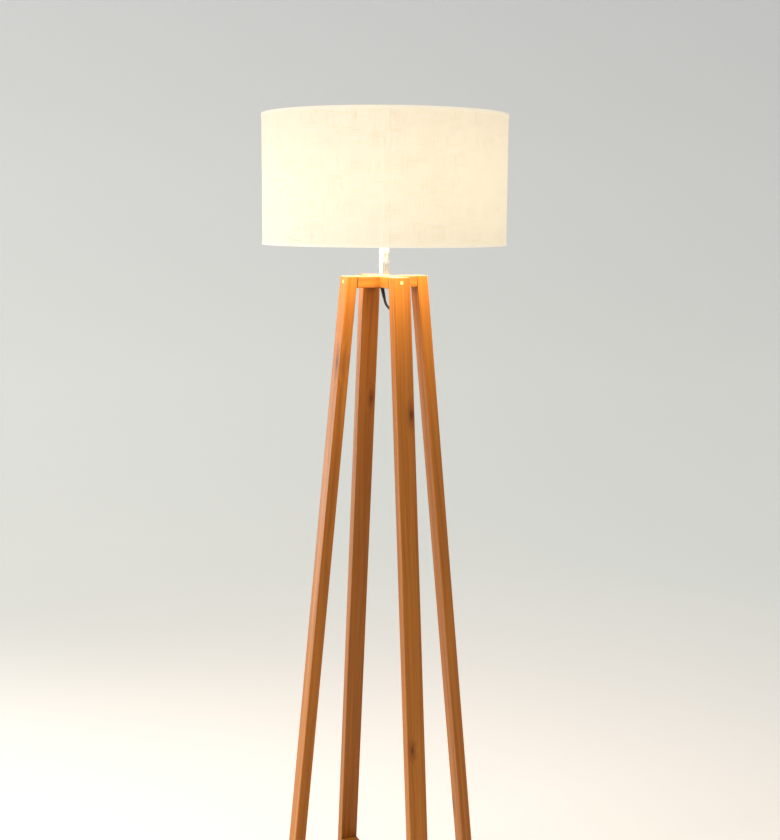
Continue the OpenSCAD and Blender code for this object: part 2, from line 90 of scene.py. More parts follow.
def eased(corners, closed=False, steps=4):
    # each corner (x, y, easing) is cut back along both its sides, and a quadratic curve joins the two cuts
    table = np.array(corners, float)
    points, cuts, parts = table[:, :2], table[:, 2], []
    for i in range(len(points)):
        if cuts[i] <= 0 or not closed and i in (0, len(points) - 1):
            parts.append(points[i:i + 1])
            continue
        sides = np.stack([points[i - 1], points[(i + 1) % len(points)]]) - points[i]
        lengths = np.linalg.norm(sides, axis=1)
        cut = min(cuts[i], 0.45 * lengths.min())
        ends = points[i] + sides / lengths[:, None] * cut
        hold = points[i] + sides / lengths[:, None] * (cut + 0.04 * lengths[:, None])
        t = np.linspace(0, 1, steps + 1)[:, None]
        curve = (1 - t) ** 2 * ends[0] + 2 * t * (1 - t) * points[i] + t ** 2 * ends[1]
        parts.append(np.vstack([hold[:1], curve, hold[1:]]))
    out = np.vstack(parts)
    return np.vstack([out, out[:1]]) if closed else out


def turned(profile, steps=96, shape=None):
    # the profile (radius, height) carried round Z: x = r cos a, y = r sin a; shape changes r by angle and height
    a = np.linspace(0, turn, steps + 1)[None, :]
    r, z = profile[:, :1] + 0 * a, profile[:, 1:2] + 0 * a
    if shape is not None:
        r = shape(r, z, a + 0 * r)
    return np.stack([r * np.cos(a), r * np.sin(a), z], -1) * mm


def swept(path, across, up, section):
    # at each point of the path the section (s, t) is laid out as path + s * across + t * up
    s, t = section[None, :, :1], section[None, :, 1:]
    return (path[:, None] + s * across[:, None] + t * up[:, None]) * mm


def capped(points):  # both open ends are drawn together to their middles
    return np.concatenate([0 * points[:1] + points[0].mean(0), points, 0 * points[:1] + points[-1].mean(0)])


def tubeAlong(path, radii, sides=20, reference=(0, 0, 1)):
    # a circle of the given radius stands across the path: p + r (cos a * side + sin a * top)
    path = np.array(path, float)
    ahead = np.gradient(path, axis=0)
    ahead /= np.linalg.norm(ahead, axis=1, keepdims=True)
    side = np.cross(ahead, reference)
    side /= np.linalg.norm(side, axis=1, keepdims=True)
    a = np.linspace(0, turn, sides + 1)[None, :, None]
    r = (np.zeros(len(path)) + radii)[:, None, None]
    return (path[:, None] + r * (np.cos(a) * side[:, None] + np.sin(a) * np.cross(side, ahead)[:, None])) * mm


def alongLine(points, start, ahead, top=(0, 0, 1)):
    # a shape made round Z is laid along another direction: x across, y to the top, z ahead
    z = np.array(ahead, float) / np.linalg.norm(ahead)
    x = np.cross(np.array(top, float), z)
    x /= np.linalg.norm(x)
    return points @ np.stack([x, np.cross(z, x), z]) + np.array(start, float) * mm


def smoothStep(x):
    x = np.clip(x, 0, 1)
    return x * x * (3 - 2 * x)


def addPiece(name, grids, material, body, replaced=(), uv=None, values=None, sharp=38, outward=True):
    # every grid of points becomes quads between its neighbouring rows and columns; equal points are then welded
    places, quads, count = [], [], 0
    for g in grids:
        rows, cols = g.shape[:2]
        corner = (np.arange(rows - 1)[:, None] * cols + np.arange(cols - 1)[None, :]).reshape(-1, 1)
        quads.append(corner + np.array([[0, 1, cols + 1, cols]]) + count)
        places.append(g.reshape(-1, 3))
        count += rows * cols
    places, quads = np.vstack(places), np.vstack(quads)
    mesh = bpy.data.meshes.new(name)
    mesh.from_pydata(places.tolist(), [], quads.tolist())
    if uv is not None:
        layer = mesh.uv_layers.new(name="surfaceMap")
        layer.data.foreach_set("uv", np.vstack([u.reshape(-1, 2) for u in uv])[quads.reshape(-1)].reshape(-1))
    for key, (kind, parts) in (values or {}).items():
        data = np.concatenate([np.asarray(p, float).reshape(-1) for p in parts])
        mesh.attributes.new(key, kind, "POINT").data.foreach_set("vector" if kind == "FLOAT_VECTOR" else "value", data)
    work = bmesh.new()
    work.from_mesh(mesh)
    bmesh.ops.remove_doubles(work, verts=work.verts, dist=2e-7)
    if outward:
        bmesh.ops.recalc_face_normals(work, faces=work.faces)
    work.to_mesh(mesh)
    work.free()
    mesh.polygons.foreach_set("use_smooth", np.ones(len(mesh.polygons), bool))
    mesh.set_sharp_from_angle(angle=math.radians(sharp))
    return placePiece(bpy.data.objects.new(name, mesh), material, body, replaced)


def placePiece(piece, material, body, replaced=()):
    bpy.context.scene.collection.objects.link(piece)
    piece.data.materials.append(material)
    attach(piece, body)
    if replaced:
        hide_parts(*replaced)
    return piece


cameraPlan = {
    "place": (-0.9418, -2.2396, 1.3966),
    "heading": 66.90,   # direction of view from +X, in degrees
    "dip": 9.01,        # degrees below the horizon
    "roll": 0.355,
    "lens": 55.714,     # mm on a 36 mm sensor along the taller side
}


def placeCamera(plan):
    camera = bpy.data.objects.new("camera", bpy.data.cameras.new("camera"))
    camera.data.lens, camera.data.sensor_width = plan["lens"], 36
    camera.data.clip_end = 50
    aim = (
        Matrix.Rotation(math.radians(plan["heading"] - 90), 4, "Z")
        @ Matrix.Rotation(math.radians(90 - plan["dip"]), 4, "X")
        @ Matrix.Rotation(math.radians(plan["roll"]), 4, "Z")
    )
    camera.rotation_euler = aim.to_euler()
    camera.location = plan["place"]
    bpy.context.scene.collection.objects.link(camera)
    bpy.context.scene.camera = camera


placeCamera(cameraPlan)
bpy.context.scene.view_settings.view_transform = "Standard"
print("camera placed")


def mouldedPlastic(name, colour, shade, roughness, gritMm, bump=0.12, **sockets):
    # spark-eroded moulding: a fine even grit, and faint cloudy differences in gloss
    material, tree, shader = startMaterial(name, IOR=1.5, **sockets)
    place = addNode(tree, "TexCoord")["Object"]
    cloud = addNode(tree, "TexNoise", {"Vector": place, "Scale": 1 / (18 * mm), "Detail": 3})[0]
    grit = addNode(tree, "TexNoise", {"Vector": place, "Scale": 1 / (gritMm * mm), "Detail": 2})[0]
    tint = blendColours(tree, cloud, colour, shade)
    gloss = addNode(tree, "MapRange", {0: cloud, 1: 0.3, 2: 0.7, 3: roughness - 0.06, 4: roughness + 0.08})[0]
    lift = addNode(tree, "Bump", {"Height": grit, "Strength": bump, "Distance": 0.3 * mm})[0]
    connect(tree, shader, {"Base Color": tint, "Roughness": gloss, "Normal": lift})
    return material


def metalFinish(name, colour, shade, roughness, patchMm, lineMm=0.0, bump=0.03):
    # plated or rolled metal: patches of slightly different tone and gloss, with fine lines round the turning axis
    material, tree, shader = startMaterial(name, Metallic=1.0)
    place = addNode(tree, "TexCoord")["Object"]
    patch = addNode(tree, "TexNoise", {"Vector": place, "Scale": 1 / (patchMm * mm), "Detail": 4})[0]
    tint = blendColours(tree, patch, colour, shade)
    gloss = addNode(tree, "MapRange", {0: patch, 1: 0.3, 2: 0.7, 3: roughness * 0.8, 4: roughness * 1.3})[0]
    connect(tree, shader, {"Base Color": tint, "Roughness": gloss})
    if lineMm:
        across = 1 / (17 * mm)
        scaled = addNode(tree, "Mapping", {0: place, 3: (across, across, 1 / (lineMm * mm))})[0]
        lines = addNode(tree, "TexNoise", {"Vector": scaled, "Scale": 1, "Detail": 2})[0]
        lift = addNode(tree, "Bump", {"Height": lines, "Strength": bump, "Distance": 0.2 * mm})[0]
        connect(tree, shader, {"Normal": lift})
    return material


blackNylon = mouldedPlastic("mouldedBlackNylon", "#1b1a19", "#262422", 0.42, 0.5)
blackRubber = mouldedPlastic("mouldedBlackPvcRelief", "#171615", "#211f1e", 0.55, 0.7)
greyButton = mouldedPlastic("mouldedGreyAbsButton", "#77787a", "#68696b", 0.38, 0.5)
holderPlastic = mouldedPlastic("mouldedWhitePbtHolder", "#eeeae1", "#e2ddd2", 0.36, 0.6)
lampShell = mouldedPlastic("mouldedWhitePolycarbonate", "#f3f1ec", "#e9e6df", 0.28, 0.8, 0.05)
steatite = mouldedPlastic("pressedSteatiteCeramic", "#ece7da", "#dcd5c4", 0.5, 0.4, 0.2)
vitrite = mouldedPlastic("castBlackVitriteGlass", "#0c0b10", "#17161c", 0.12, 2.0, 0.05)
boardWhite = mouldedPlastic("solderMaskedAluminiumBoard", "#f4f3ee", "#e6e4dc", 0.4, 0.5)
nickel = metalFinish("satinNickelPlate", "#ece6d8", "#e2dbcb", 0.26, 14)
zincSteel = metalFinish("zincPlatedSteel", "#b6b8b9", "#8f9394", 0.32, 1.6)
brass = metalFinish("stampedBrass", "#c9a35a", "#a9813c", 0.28, 2.2)
capMetal = metalFinish("rolledNickelledCap", "#c9c7c2", "#b2afa9", 0.22, 1.5, 0.3)


def woundStrap():  # woven polyamide hook strap: close cross ribs, and a dull pile
    material, tree, shader = startMaterial("wovenPolyamideStrap", Roughness=0.85, Sheen_Weight=0.3)
    place = addNode(tree, "TexCoord")["Object"]
    ribs = addNode(tree, "TexWave", {"Vector": place, "Scale": 1 / (6.3 * 0.9 * mm)}, bands_direction="DIAGONAL")[0]
    fuzz = addNode(tree, "TexNoise", {"Vector": place, "Scale": 1 / (0.67 * mm), "Detail": 2})[0]
    tint = blendColours(tree, ribs, "#191817", "#2b2927")
    height = calculate(tree, "ADD", ribs, fuzz)
    lift = addNode(tree, "Bump", {"Height": height, "Strength": 0.4, "Distance": 0.4 * mm})[0]
    connect(tree, shader, {"Base Color": tint, "Normal": lift})
    return material


strapWeave = woundStrap()


cordPlan = {
    "diameter": 5.0,
    "drop": [
        (0.5, 0, 1241), (1.3, -0.35, 1236.8), (2.6, -1, 1232.5), (4.7, -2.2, 1228), (7.4, -4.3, 1224),
        (10.2, -7.4, 1220.5), (12.4, -12, 1217), (13.2, -18, 1213.2), (13, -24.5, 1209), (11.8, -31.5, 1203.5),
        (9.8, -38.5, 1196), (7.2, -45.5, 1185.5), (4.6, -52, 1171.5), (2.3, -58.5, 1154), (0.8, -64.5, 1135),
        (0.1, -69.4, 1119), (0, -73.3, 1110), (0, -83.3, 1008),
        (0, -103.3, 804), (0, -123.3, 599), (0, -143.3, 395), (0, -158.3, 242), (0, -163.3, 191),
        (-3, -165.3, 165), (-11, -165, 136), (-20, -163, 108), (-26, -160, 78), (-31, -154, 50), (-37, -145, 27),
        (-42, -133, 13), (-45.2, -122, 7.6), (-46, -115, 6), (-46, -112.5, 6), (-46, -110, 6)],
    "inSwitch": [(-46, -100, 6), (-46, -90, 6), (-45, -82, 6), (-41, -74, 6), (-36.8, -66, 6), (-35.6, -59, 6),
                 (-36.8, -52, 6), (-41, -44, 6), (-45, -36, 6), (-46, -28, 6), (-46, -18, 6)],
    "tail": [(-46, -8, 6), (-46, -5.5, 6), (-46, -3, 6), (-47.5, 6, 4), (-52.5, 15, 2.7), (-62, 20, 2.6),
             (-74, 18, 2.6), (-82, 8, 2.6), (-85, -6, 2.6), (-86, -25, 2.6), (-86, -45, 2.8), (-85.8, -62, 3.2)],
    "plugEnd": [(-127, -109.4, 8.2), (-134, -109.8, 7.5), (-140, -110, 7), (-142, -110, 7), (-150, -110, 7)],
    "coilAt": (-120, -75),
    "coilRadii": (34.2, 29.0, 23.8),
    "coilTurns": 5.25,
    "layer": 5.2,
}


def coilPoints(plan, steps):
    # clockwise turns: the radius steps inward at the end of each lower turn, the cord climbs a layer, and it steps out
    n = np.linspace(0, plan["coilTurns"], steps)
    outer, middle, inner = plan["coilRadii"]
    r = outer + (middle - outer) * smoothStep((n - 0.8) / 0.2) + (inner - middle) * smoothStep((n - 1.8) / 0.2)
    r = r + (middle - inner) * smoothStep((n - 3.33) / 0.22) + (outer - middle) * smoothStep((n - 4.33) / 0.22)
    z = 3.4 + plan["layer"] * smoothStep((n - 2.52) / 0.3)
    x, y = plan["coilAt"]
    return np.stack([x + r * np.cos(-turn * n), y + r * np.sin(-turn * n), z], 1)


def cordSheath():  # extruded PVC: a soft satin black with fine draw lines along it and a few scuffs
    material, tree, shader = startMaterial("extrudedBlackPvc", IOR=1.53, Coat_Weight=0.12, Coat_Roughness=0.35)
    place = addNode(tree, "TexCoord")["Object"]
    scuff = addNode(tree, "TexNoise", {"Vector": place, "Scale": 1 / (6.25 * mm), "Detail": 4})[0]
    draw = addNode(tree, "TexNoise", {"Vector": place, "Scale": 1 / (0.833 * mm), "Detail": 1})[0]
    tint = addNode(tree, "ValToRGB", {0: scuff}, [(0.35, "#121110"), (0.75, "#252321")])[0]
    gloss = addNode(tree, "MapRange", {0: scuff, 1: 0.35, 2: 0.7, 3: 0.36, 4: 0.52})[0]
    lift = addNode(tree, "Bump", {"Height": draw, "Strength": 0.08, "Distance": 0.2 * mm})[0]
    connect(tree, shader, {"Base Color": tint, "Roughness": gloss, "Normal": lift})
    return material


def layCord(plan):
    route = np.vstack([plan["drop"], plan["inSwitch"], plan["tail"], coilPoints(plan, 100), plan["plugEnd"]]) * mm
    curve = bpy.data.curves.new("cord", "CURVE")
    curve.dimensions, curve.resolution_u, curve.bevel_resolution = "3D", 3, 5
    curve.bevel_depth, curve.use_fill_caps = plan["diameter"] / 2 * mm, True
    line = curve.splines.new("BEZIER")
    line.bezier_points.add(len(route) - 1)
    line.bezier_points.foreach_set("co", route.astype(np.float32).reshape(-1))
    for point in line.bezier_points:
        point.handle_left_type = point.handle_right_type = "AUTO"
    length = float(np.linalg.norm(np.diff(route, axis=0), axis=1).sum())
    piece = placePiece(bpy.data.objects.new("cord", curve), cordSheath(), "stand",
                       ("cord_drop", "cord_tail", "cord_coil", "cord_plug_end"))
    print(f"cord laid, {length:.3f} m")
    return piece, route[0], length


cordPiece, cordExit, cordLength = layCord(cordPlan)


clipPlan = {
    "heights": (1084, 900, 640, 380, 215), "length": 8.0, "strap": 1.5, "reach": 6.9, "offset": 3.15,
    "hollow": 2.9, "nailAt": 5.6, "nail": [(0, 0.2, 0), (1.5, 0.1, 0.3), (1.5, -0.4, 0.1), (0, -0.5, 0)],
}
legPlan = {
    "top": 1283.0, "bottom": 3.0, "width": 35.0, "thick": 21.0, "ease": 1.5, "splay": math.radians(5.6),
    "topRadius": 70.0, "endEase": 0.9, "headJoint": 1272.5, "footJoint": 75.5,
}


def legRadius(z):  # distance of a leg's centre line from the lamp's axis at height z
    return legPlan["topRadius"] + math.tan(legPlan["splay"]) * (legPlan["top"] - z)


def onLeg(points, z, quarter):
    # points (outward, across, along) in mm from a leg's centre line at height z, leant with the leg and turned to its side
    c, s = math.cos(legPlan["splay"]), math.sin(legPlan["splay"])
    place = points @ np.array([[c, 0, s], [0, 1, 0], [-s, 0, c]]) + np.array([legRadius(z), 0, z])
    a = quarter * turn / 4
    return place @ np.array([[math.cos(a), math.sin(a), 0], [-math.sin(a), math.cos(a), 0], [0, 0, 1]])


def clipGrids(plan):
    # a flat strap carried over a saddle line: foot, half circle over the cord, foot; and a domed nail in each foot
    bend, foot = plan["hollow"] + plan["strap"] / 2, plan["strap"] / 2
    a = np.linspace(math.pi, 0, 17)
    arch = np.stack([bend * np.cos(a), plan["offset"] + bend * np.sin(a)], 1)
    left = eased([(-plan["reach"], foot, 0), (-bend, foot, 0.9), (-bend, plan["offset"] - 0.3, 0)])
    line = np.vstack([left, arch, left[::-1] * (-1, 1)])
    ahead = np.gradient(line, axis=0)
    ahead /= np.linalg.norm(ahead, axis=1, keepdims=True)
    path = np.stack([-line[:, 1], line[:, 0], 0 * line[:, 0]], 1)
    across = np.zeros_like(path) + (0, 0, 1)
    up = np.stack([-ahead[:, 0], -ahead[:, 1], 0 * ahead[:, 0]], 1)
    h, t = plan["length"] / 2, plan["strap"] / 2
    section = eased([(-h, -t, 0.4), (h, -t, 0.4), (h, t, 0.4), (-h, t, 0.4)], closed=True, steps=3)
    strap = capped(swept(path, across, up, section) / mm)
    nail = turned(eased(plan["nail"]), 24) / mm
    grids = []
    for z in plan["heights"]:
        grids.append(onLeg(strap + (-legPlan["thick"] / 2, 0, 0), z, 3) * mm)
        for side in (-1, 1):
            at = (-legPlan["thick"] / 2 - plan["strap"] - 0.3, side * plan["nailAt"], 0)
            head = nail[..., [2, 1, 0]] * (-1, 1, 1) + at
            grids.append(onLeg(head, z, 3) * mm)
    return grids


cordClips = addPiece("cordClips", clipGrids(clipPlan), blackNylon, "stand", ("cord_clips",))

outletPlan = {
    "flange": 11.0, "flangeZ": 1262.2, "flangeTop": 1264.0,
    "root": (-3.63, 1.69, 1262.2), "tip": (0.5, 0, 1241), "wide": 3.9, "narrow": 2.9, "mouth": 2.55,
    "grooves": 6, "grooveDeep": 0.28,
}


def outletGrids(plan):
    # a turned flange, and level circles of shrinking radius carried down a leaning line, with grooves round them
    flange = turned(eased([(0, plan["flangeZ"], 0), (plan["flange"], plan["flangeZ"], 0.7),
                           (plan["flange"], plan["flangeTop"], 0.2), (0, plan["flangeTop"], 0)]), 72)
    t = np.linspace(-0.02, 1, 61)
    groove = (np.cos(turn * plan["grooves"] * t) < -0.2) * (t > 0.1) * (t < 0.93)
    r = plan["wide"] + (plan["narrow"] - plan["wide"]) * t - plan["grooveDeep"] * groove
    r = r + 0.9 * np.exp(-t * 14)  # it flares into the flange
    r[-1] = plan["mouth"]
    root, tip = np.array(plan["root"]), np.array(plan["tip"])
    lean = np.stack([t, t, t], 1)[:, None] * (tip - root) + root
    nose = capped(turned(np.stack([r, 0 * t], 1), 40) + lean * mm)
    return [flange, nose]


cordOutlet = addPiece("cordOutlet", outletGrids(outletPlan), blackRubber, "stand", ("cord_outlet",))

switchPlan = {
    "at": (-46, -59), "long": 62.0, "wide": 34.0, "wall": 2.0, "button": 11.0,
    "base": [(5, 0), (1.6, 0), (0.9, 0.15), (0.3, 0.6), (0, 1.3), (0, 5.9), (0.1, 6.5), (0.5, 6.85), (1.9, 6.85),
             (2, 6.6), (2, 2.2), (5, 2)],  # inset and height
    "cover": [(0.5, 6.95), (0.1, 7.2), (0, 7.7), (0, 13.2), (0.15, 15), (0.6, 16.6), (1.4, 17.8), (2.6, 18.6),
              (4.2, 18.95), (4.6, 19)],
    "rim": [(1.3, 19.0), (0.8, 18.9), (0.3, 18.5), (0.3, 17.4), (0.3, 17)],  # beyond the button's radius, and height
    "buttonProfile": [(0, 22.9, 0), (6.2, 23.1, 1.5), (8.2, 24, 0.6), (9.9, 24, 0.7), (11, 22.8, 0.7), (11, 16.9, 0),
                      (13, 16.9, 0.3), (13, 13, 0.3), (0, 13, 0)],
    "reliefZ": 6.0, "reliefWide": 4.0, "reliefNarrow": 2.9, "reliefLong": 20.0,
}
roundAngles = np.concatenate([np.linspace(0, math.pi, 33), np.linspace(math.pi, turn, 33), [0]])  # both half circles


def stadium(plan, rows):
    # two half circles of radius half width less the inset, held apart along Y; rows are (inset, height)
    a = roundAngles
    apart = (plan["long"] - plan["wide"]) / 2 * np.concatenate([np.ones(33), -np.ones(33), [1]])
    inset, z = np.array(rows, float)[:, :1], np.array(rows, float)[:, 1:]
    r = plan["wide"] / 2 - inset
    place = np.stack([r * np.cos(a), apart * np.minimum(1, r / 6) + r * np.sin(a), z + 0 * a], -1)
    return (place + np.array([*plan["at"], 0])) * mm


def switchGrids(plan):
    # base and cover are stadium outlines carried up a wall line; the cover goes on round the button's hole and back inside
    w, at = plan["wall"], np.array([*plan["at"], 0])
    rims = np.array(plan["rim"]) + (plan["button"], 0)
    rim = np.stack([rims[:, :1] * np.cos(roundAngles), rims[:, :1] * np.sin(roundAngles), rims[:, 1:] + 0 * roundAngles], -1)
    inner = [(w + 1, 17), (w, 16), (w, 7.3), (w - 0.2, 6.95), (0.5, 6.95)]
    cover = np.concatenate([stadium(plan, plan["cover"]), (rim + at) * mm, stadium(plan, inner)])
    button = turned(eased(plan["buttonProfile"]), 84) + at * mm
    return [capped(stadium(plan, plan["base"]))], [cover], [button]


baseGrids, coverGrids, buttonGrids = switchGrids(switchPlan)
switchBase = addPiece("switchBase", baseGrids, blackNylon, "stand", ("switch_base",))
switchCover = addPiece("switchCover", coverGrids, blackNylon, "stand", ("switch_cover",))
switchButton = addPiece("switchButton", buttonGrids, greyButton, "foot_button", ("switch_button",))


def ribbedTaper(wide, narrow, length, ribs):
    # radius falls evenly from wide to narrow along Z, with square grooves cut at even steps
    z = np.linspace(-2, length, 76)
    t = np.clip(z / length, 0, 1)
    groove = 0.32 * (np.cos(turn * ribs * t) < -0.25) * (t > 0.08) * (t < 0.9)
    r = wide + (narrow - wide) * t - groove
    r[-1] -= 0.3
    return capped(turned(np.stack([r, z], 1), 40))


def switchReliefGrids(plan):  # one grooved taper at each end of the switch
    shape = ribbedTaper(plan["reliefWide"], plan["reliefNarrow"], plan["reliefLong"], 7)
    x, y = plan["at"]
    return [alongLine(shape, (x, y + way * plan["long"] / 2, plan["reliefZ"]), (0, way, 0)) for way in (-1, 1)]


switchReliefs = addPiece("switchReliefs", switchReliefGrids(switchPlan), blackRubber, "stand",
                         ("switch_reliefs",))

plugPlan = {
    "at": (-142, -110, 7), "relief": 22.0, "body": 34.0, "wide": 35.0, "thick": 14.0, "neckWide": 11.0, "neckThick": 10.4,
    "pin": 19.0, "apart": 19.0, "ribStep": 3.1, "ribDeep": 0.45,
}


def plugGrids(plan):
    # rounded sections (a superellipse) grow from the relief to the full grip, with finger ribs across both faces
    x, y, z = plan["at"]
    rear, front = x - plan["relief"], x - plan["relief"] - plan["body"]
    relief = alongLine(ribbedTaper(4.4, 2.9, plan["relief"], 8), (rear, y, z), (1, 0, 0))
    s = np.concatenate([[0, 0.4, 1.2], np.linspace(2.5, 30, 45), [31.5, 32.8, 33.6, 34, 34]])
    grow = smoothStep(s / 15)
    pull = (1 - 0.05 * smoothStep((s - 30) / 4) ** 2) * np.minimum(1, 0.86 + s / 6)
    wide = (plan["neckWide"] + (plan["wide"] - plan["neckWide"]) * grow) / 2 * pull
    thick = (plan["neckThick"] + (plan["thick"] - plan["neckThick"]) * grow) / 2 * pull
    rib = plan["ribDeep"] * (np.cos(turn * (s - 15.5) / plan["ribStep"]) < -0.1) * (s > 15.5) * (s < 28)
    a = np.linspace(0, turn, 65)
    across, up = [np.sign(part) * np.abs(part) ** 0.55 for part in (np.cos(a), np.sin(a))]
    grid = np.stack([wide[:, None] * across, (thick - rib)[:, None] * up, s[:, None] + 0 * across], -1) * mm
    body = alongLine(capped(grid), (rear, y, z), (-1, 0, 0))
    pin = eased([(0, 0, 0), (1.9, 0, 0), (1.9, plan["pin"], 1.5), (0, plan["pin"], 0)], steps=6)
    sleeve = eased([(0, -1, 0), (2, -1, 0), (2, 10, 0.3), (0, 10, 0)])
    starts = [(front, y + side * plan["apart"] / 2, z) for side in (-1, 1)]
    pins, sleeves = [[alongLine(turned(line, 28), start, (-1, 0, 0)) for start in starts] for line in (pin, sleeve)]
    return [relief, body, *sleeves], pins


plugBodyGrids, plugPinGrids = plugGrids(plugPlan)
plugBody = addPiece("plugBody", plugBodyGrids, blackRubber, "stand", ("plug_body",))
plugPins = addPiece("plugPins", plugPinGrids, nickel, "stand", ("plug_pins",))


tiePlan = {
    "x": -120, "y": -46, "wide": 7.0, "thick": 0.7, "tabTop": 12.05,
    "loop": [(-8.3, 0.5, 3), (8.3, 0.5, 3), (8.3, 11.4, 3.4), (-8.3, 11.4, 3.4)],  # across the bundle and up
}


def tieGrids(plan):
    # a flat strap round the bundle of turns: a rounded loop across the ring, and its loose end laid over the top
    loop = eased(plan["loop"], closed=True, steps=8)
    middle = np.linspace(0, len(loop) - 1, 90)
    line = np.stack([np.interp(middle, np.arange(len(loop)), loop[:, k]) for k in (0, 1)], 1)
    path = np.stack([0 * line[:, 0] + plan["x"], line[:, 0] + plan["y"], line[:, 1]], 1)
    ahead = np.gradient(line, axis=0)
    ahead /= np.linalg.norm(ahead, axis=1, keepdims=True) + 1e-9
    ahead[0] = ahead[-1] = (ahead[1] + ahead[-2]) / 2
    up = np.stack([0 * ahead[:, 0], ahead[:, 1], -ahead[:, 0]], 1)
    h, t = plan["wide"] / 2, plan["thick"] / 2
    section = eased([(-h, -t, 0.2), (h, -t, 0.2), (h, t, 0.2), (-h, t, 0.2)], closed=True, steps=2)
    band = swept(path, np.zeros_like(path) + (1, 0, 0), up, section)
    x = np.linspace(-6, 5, 12)
    end = np.stack([0 * x + plan["x"], x + plan["y"], plan["tabTop"] - 0.005 * x ** 2], 1)
    tab = capped(swept(end, np.zeros_like(end) + (1, 0, 0), np.zeros_like(end) + (0, 0, 1), section))
    return [band, tab]


coilTie = addPiece("coilTie", tieGrids(tiePlan), strapWeave, "stand", ("coil_tie",))

print("cord fittings made")


woodPlan = {
    "light": "#bd7426", "dark": "#8f4e12", "knot": "#3a1a08",
    "ringMm": 4.6,      # growth rings, drawn a little wider than the real 2 to 3 mm so that they show
    "swayMm": (588.2, 76.92), "fibreMm": (111.1, 1.786), "streakMm": (454.5, 7.692),  # along the board, and across it
    # the joint colour is painted shadow where the beams meet the legs
    "halo": "#6e3309", "paleCorner": "#cc8a48", "jointShadow": "#3a1b07", "endGrain": "#7c430f",
    "knots": [          # leg number, distance along in mm, across in mm, radius in mm
        (4, 1131, 6, 5.4), (1, 1040, 11, 4.6), (3, 1046, -9, 3.6), (2, 205, 15, 4.2), (1, 420, -8, 3.6),
    ],
}
boardCuts = {  # where each board was cut from the log: distance to the pith, across and through, in mm
    1: (38, -30), 2: (-30, 36), 3: (46, 22), 4: (-34, -40), 5: (30, 45), 6: (-48, 30), 7: (40, -38), 8: (-36, 34),
}
boardToneAndShade = {1: 1.0, 2: 0.97, 3: 0.78, 4: 1.0, 5: 0.94, 6: 0.97, 7: 0.9, 8: 0.95}  # how light each board is; the back leg's 0.78 is painted shade from the head beams above it


def grainNoise(tree, log, sizes, detail):  # noise drawn out along the board, its cells of the given sizes in mm
    along, across = 1 / (sizes[0] * mm), 1 / (sizes[1] * mm)
    drawn = addNode(tree, "VectorMath", {0: log, 1: (along, across, across)}, operation="MULTIPLY")[0]
    return addNode(tree, "TexNoise", {"Vector": drawn, "Scale": 1, "Detail": detail})[0]


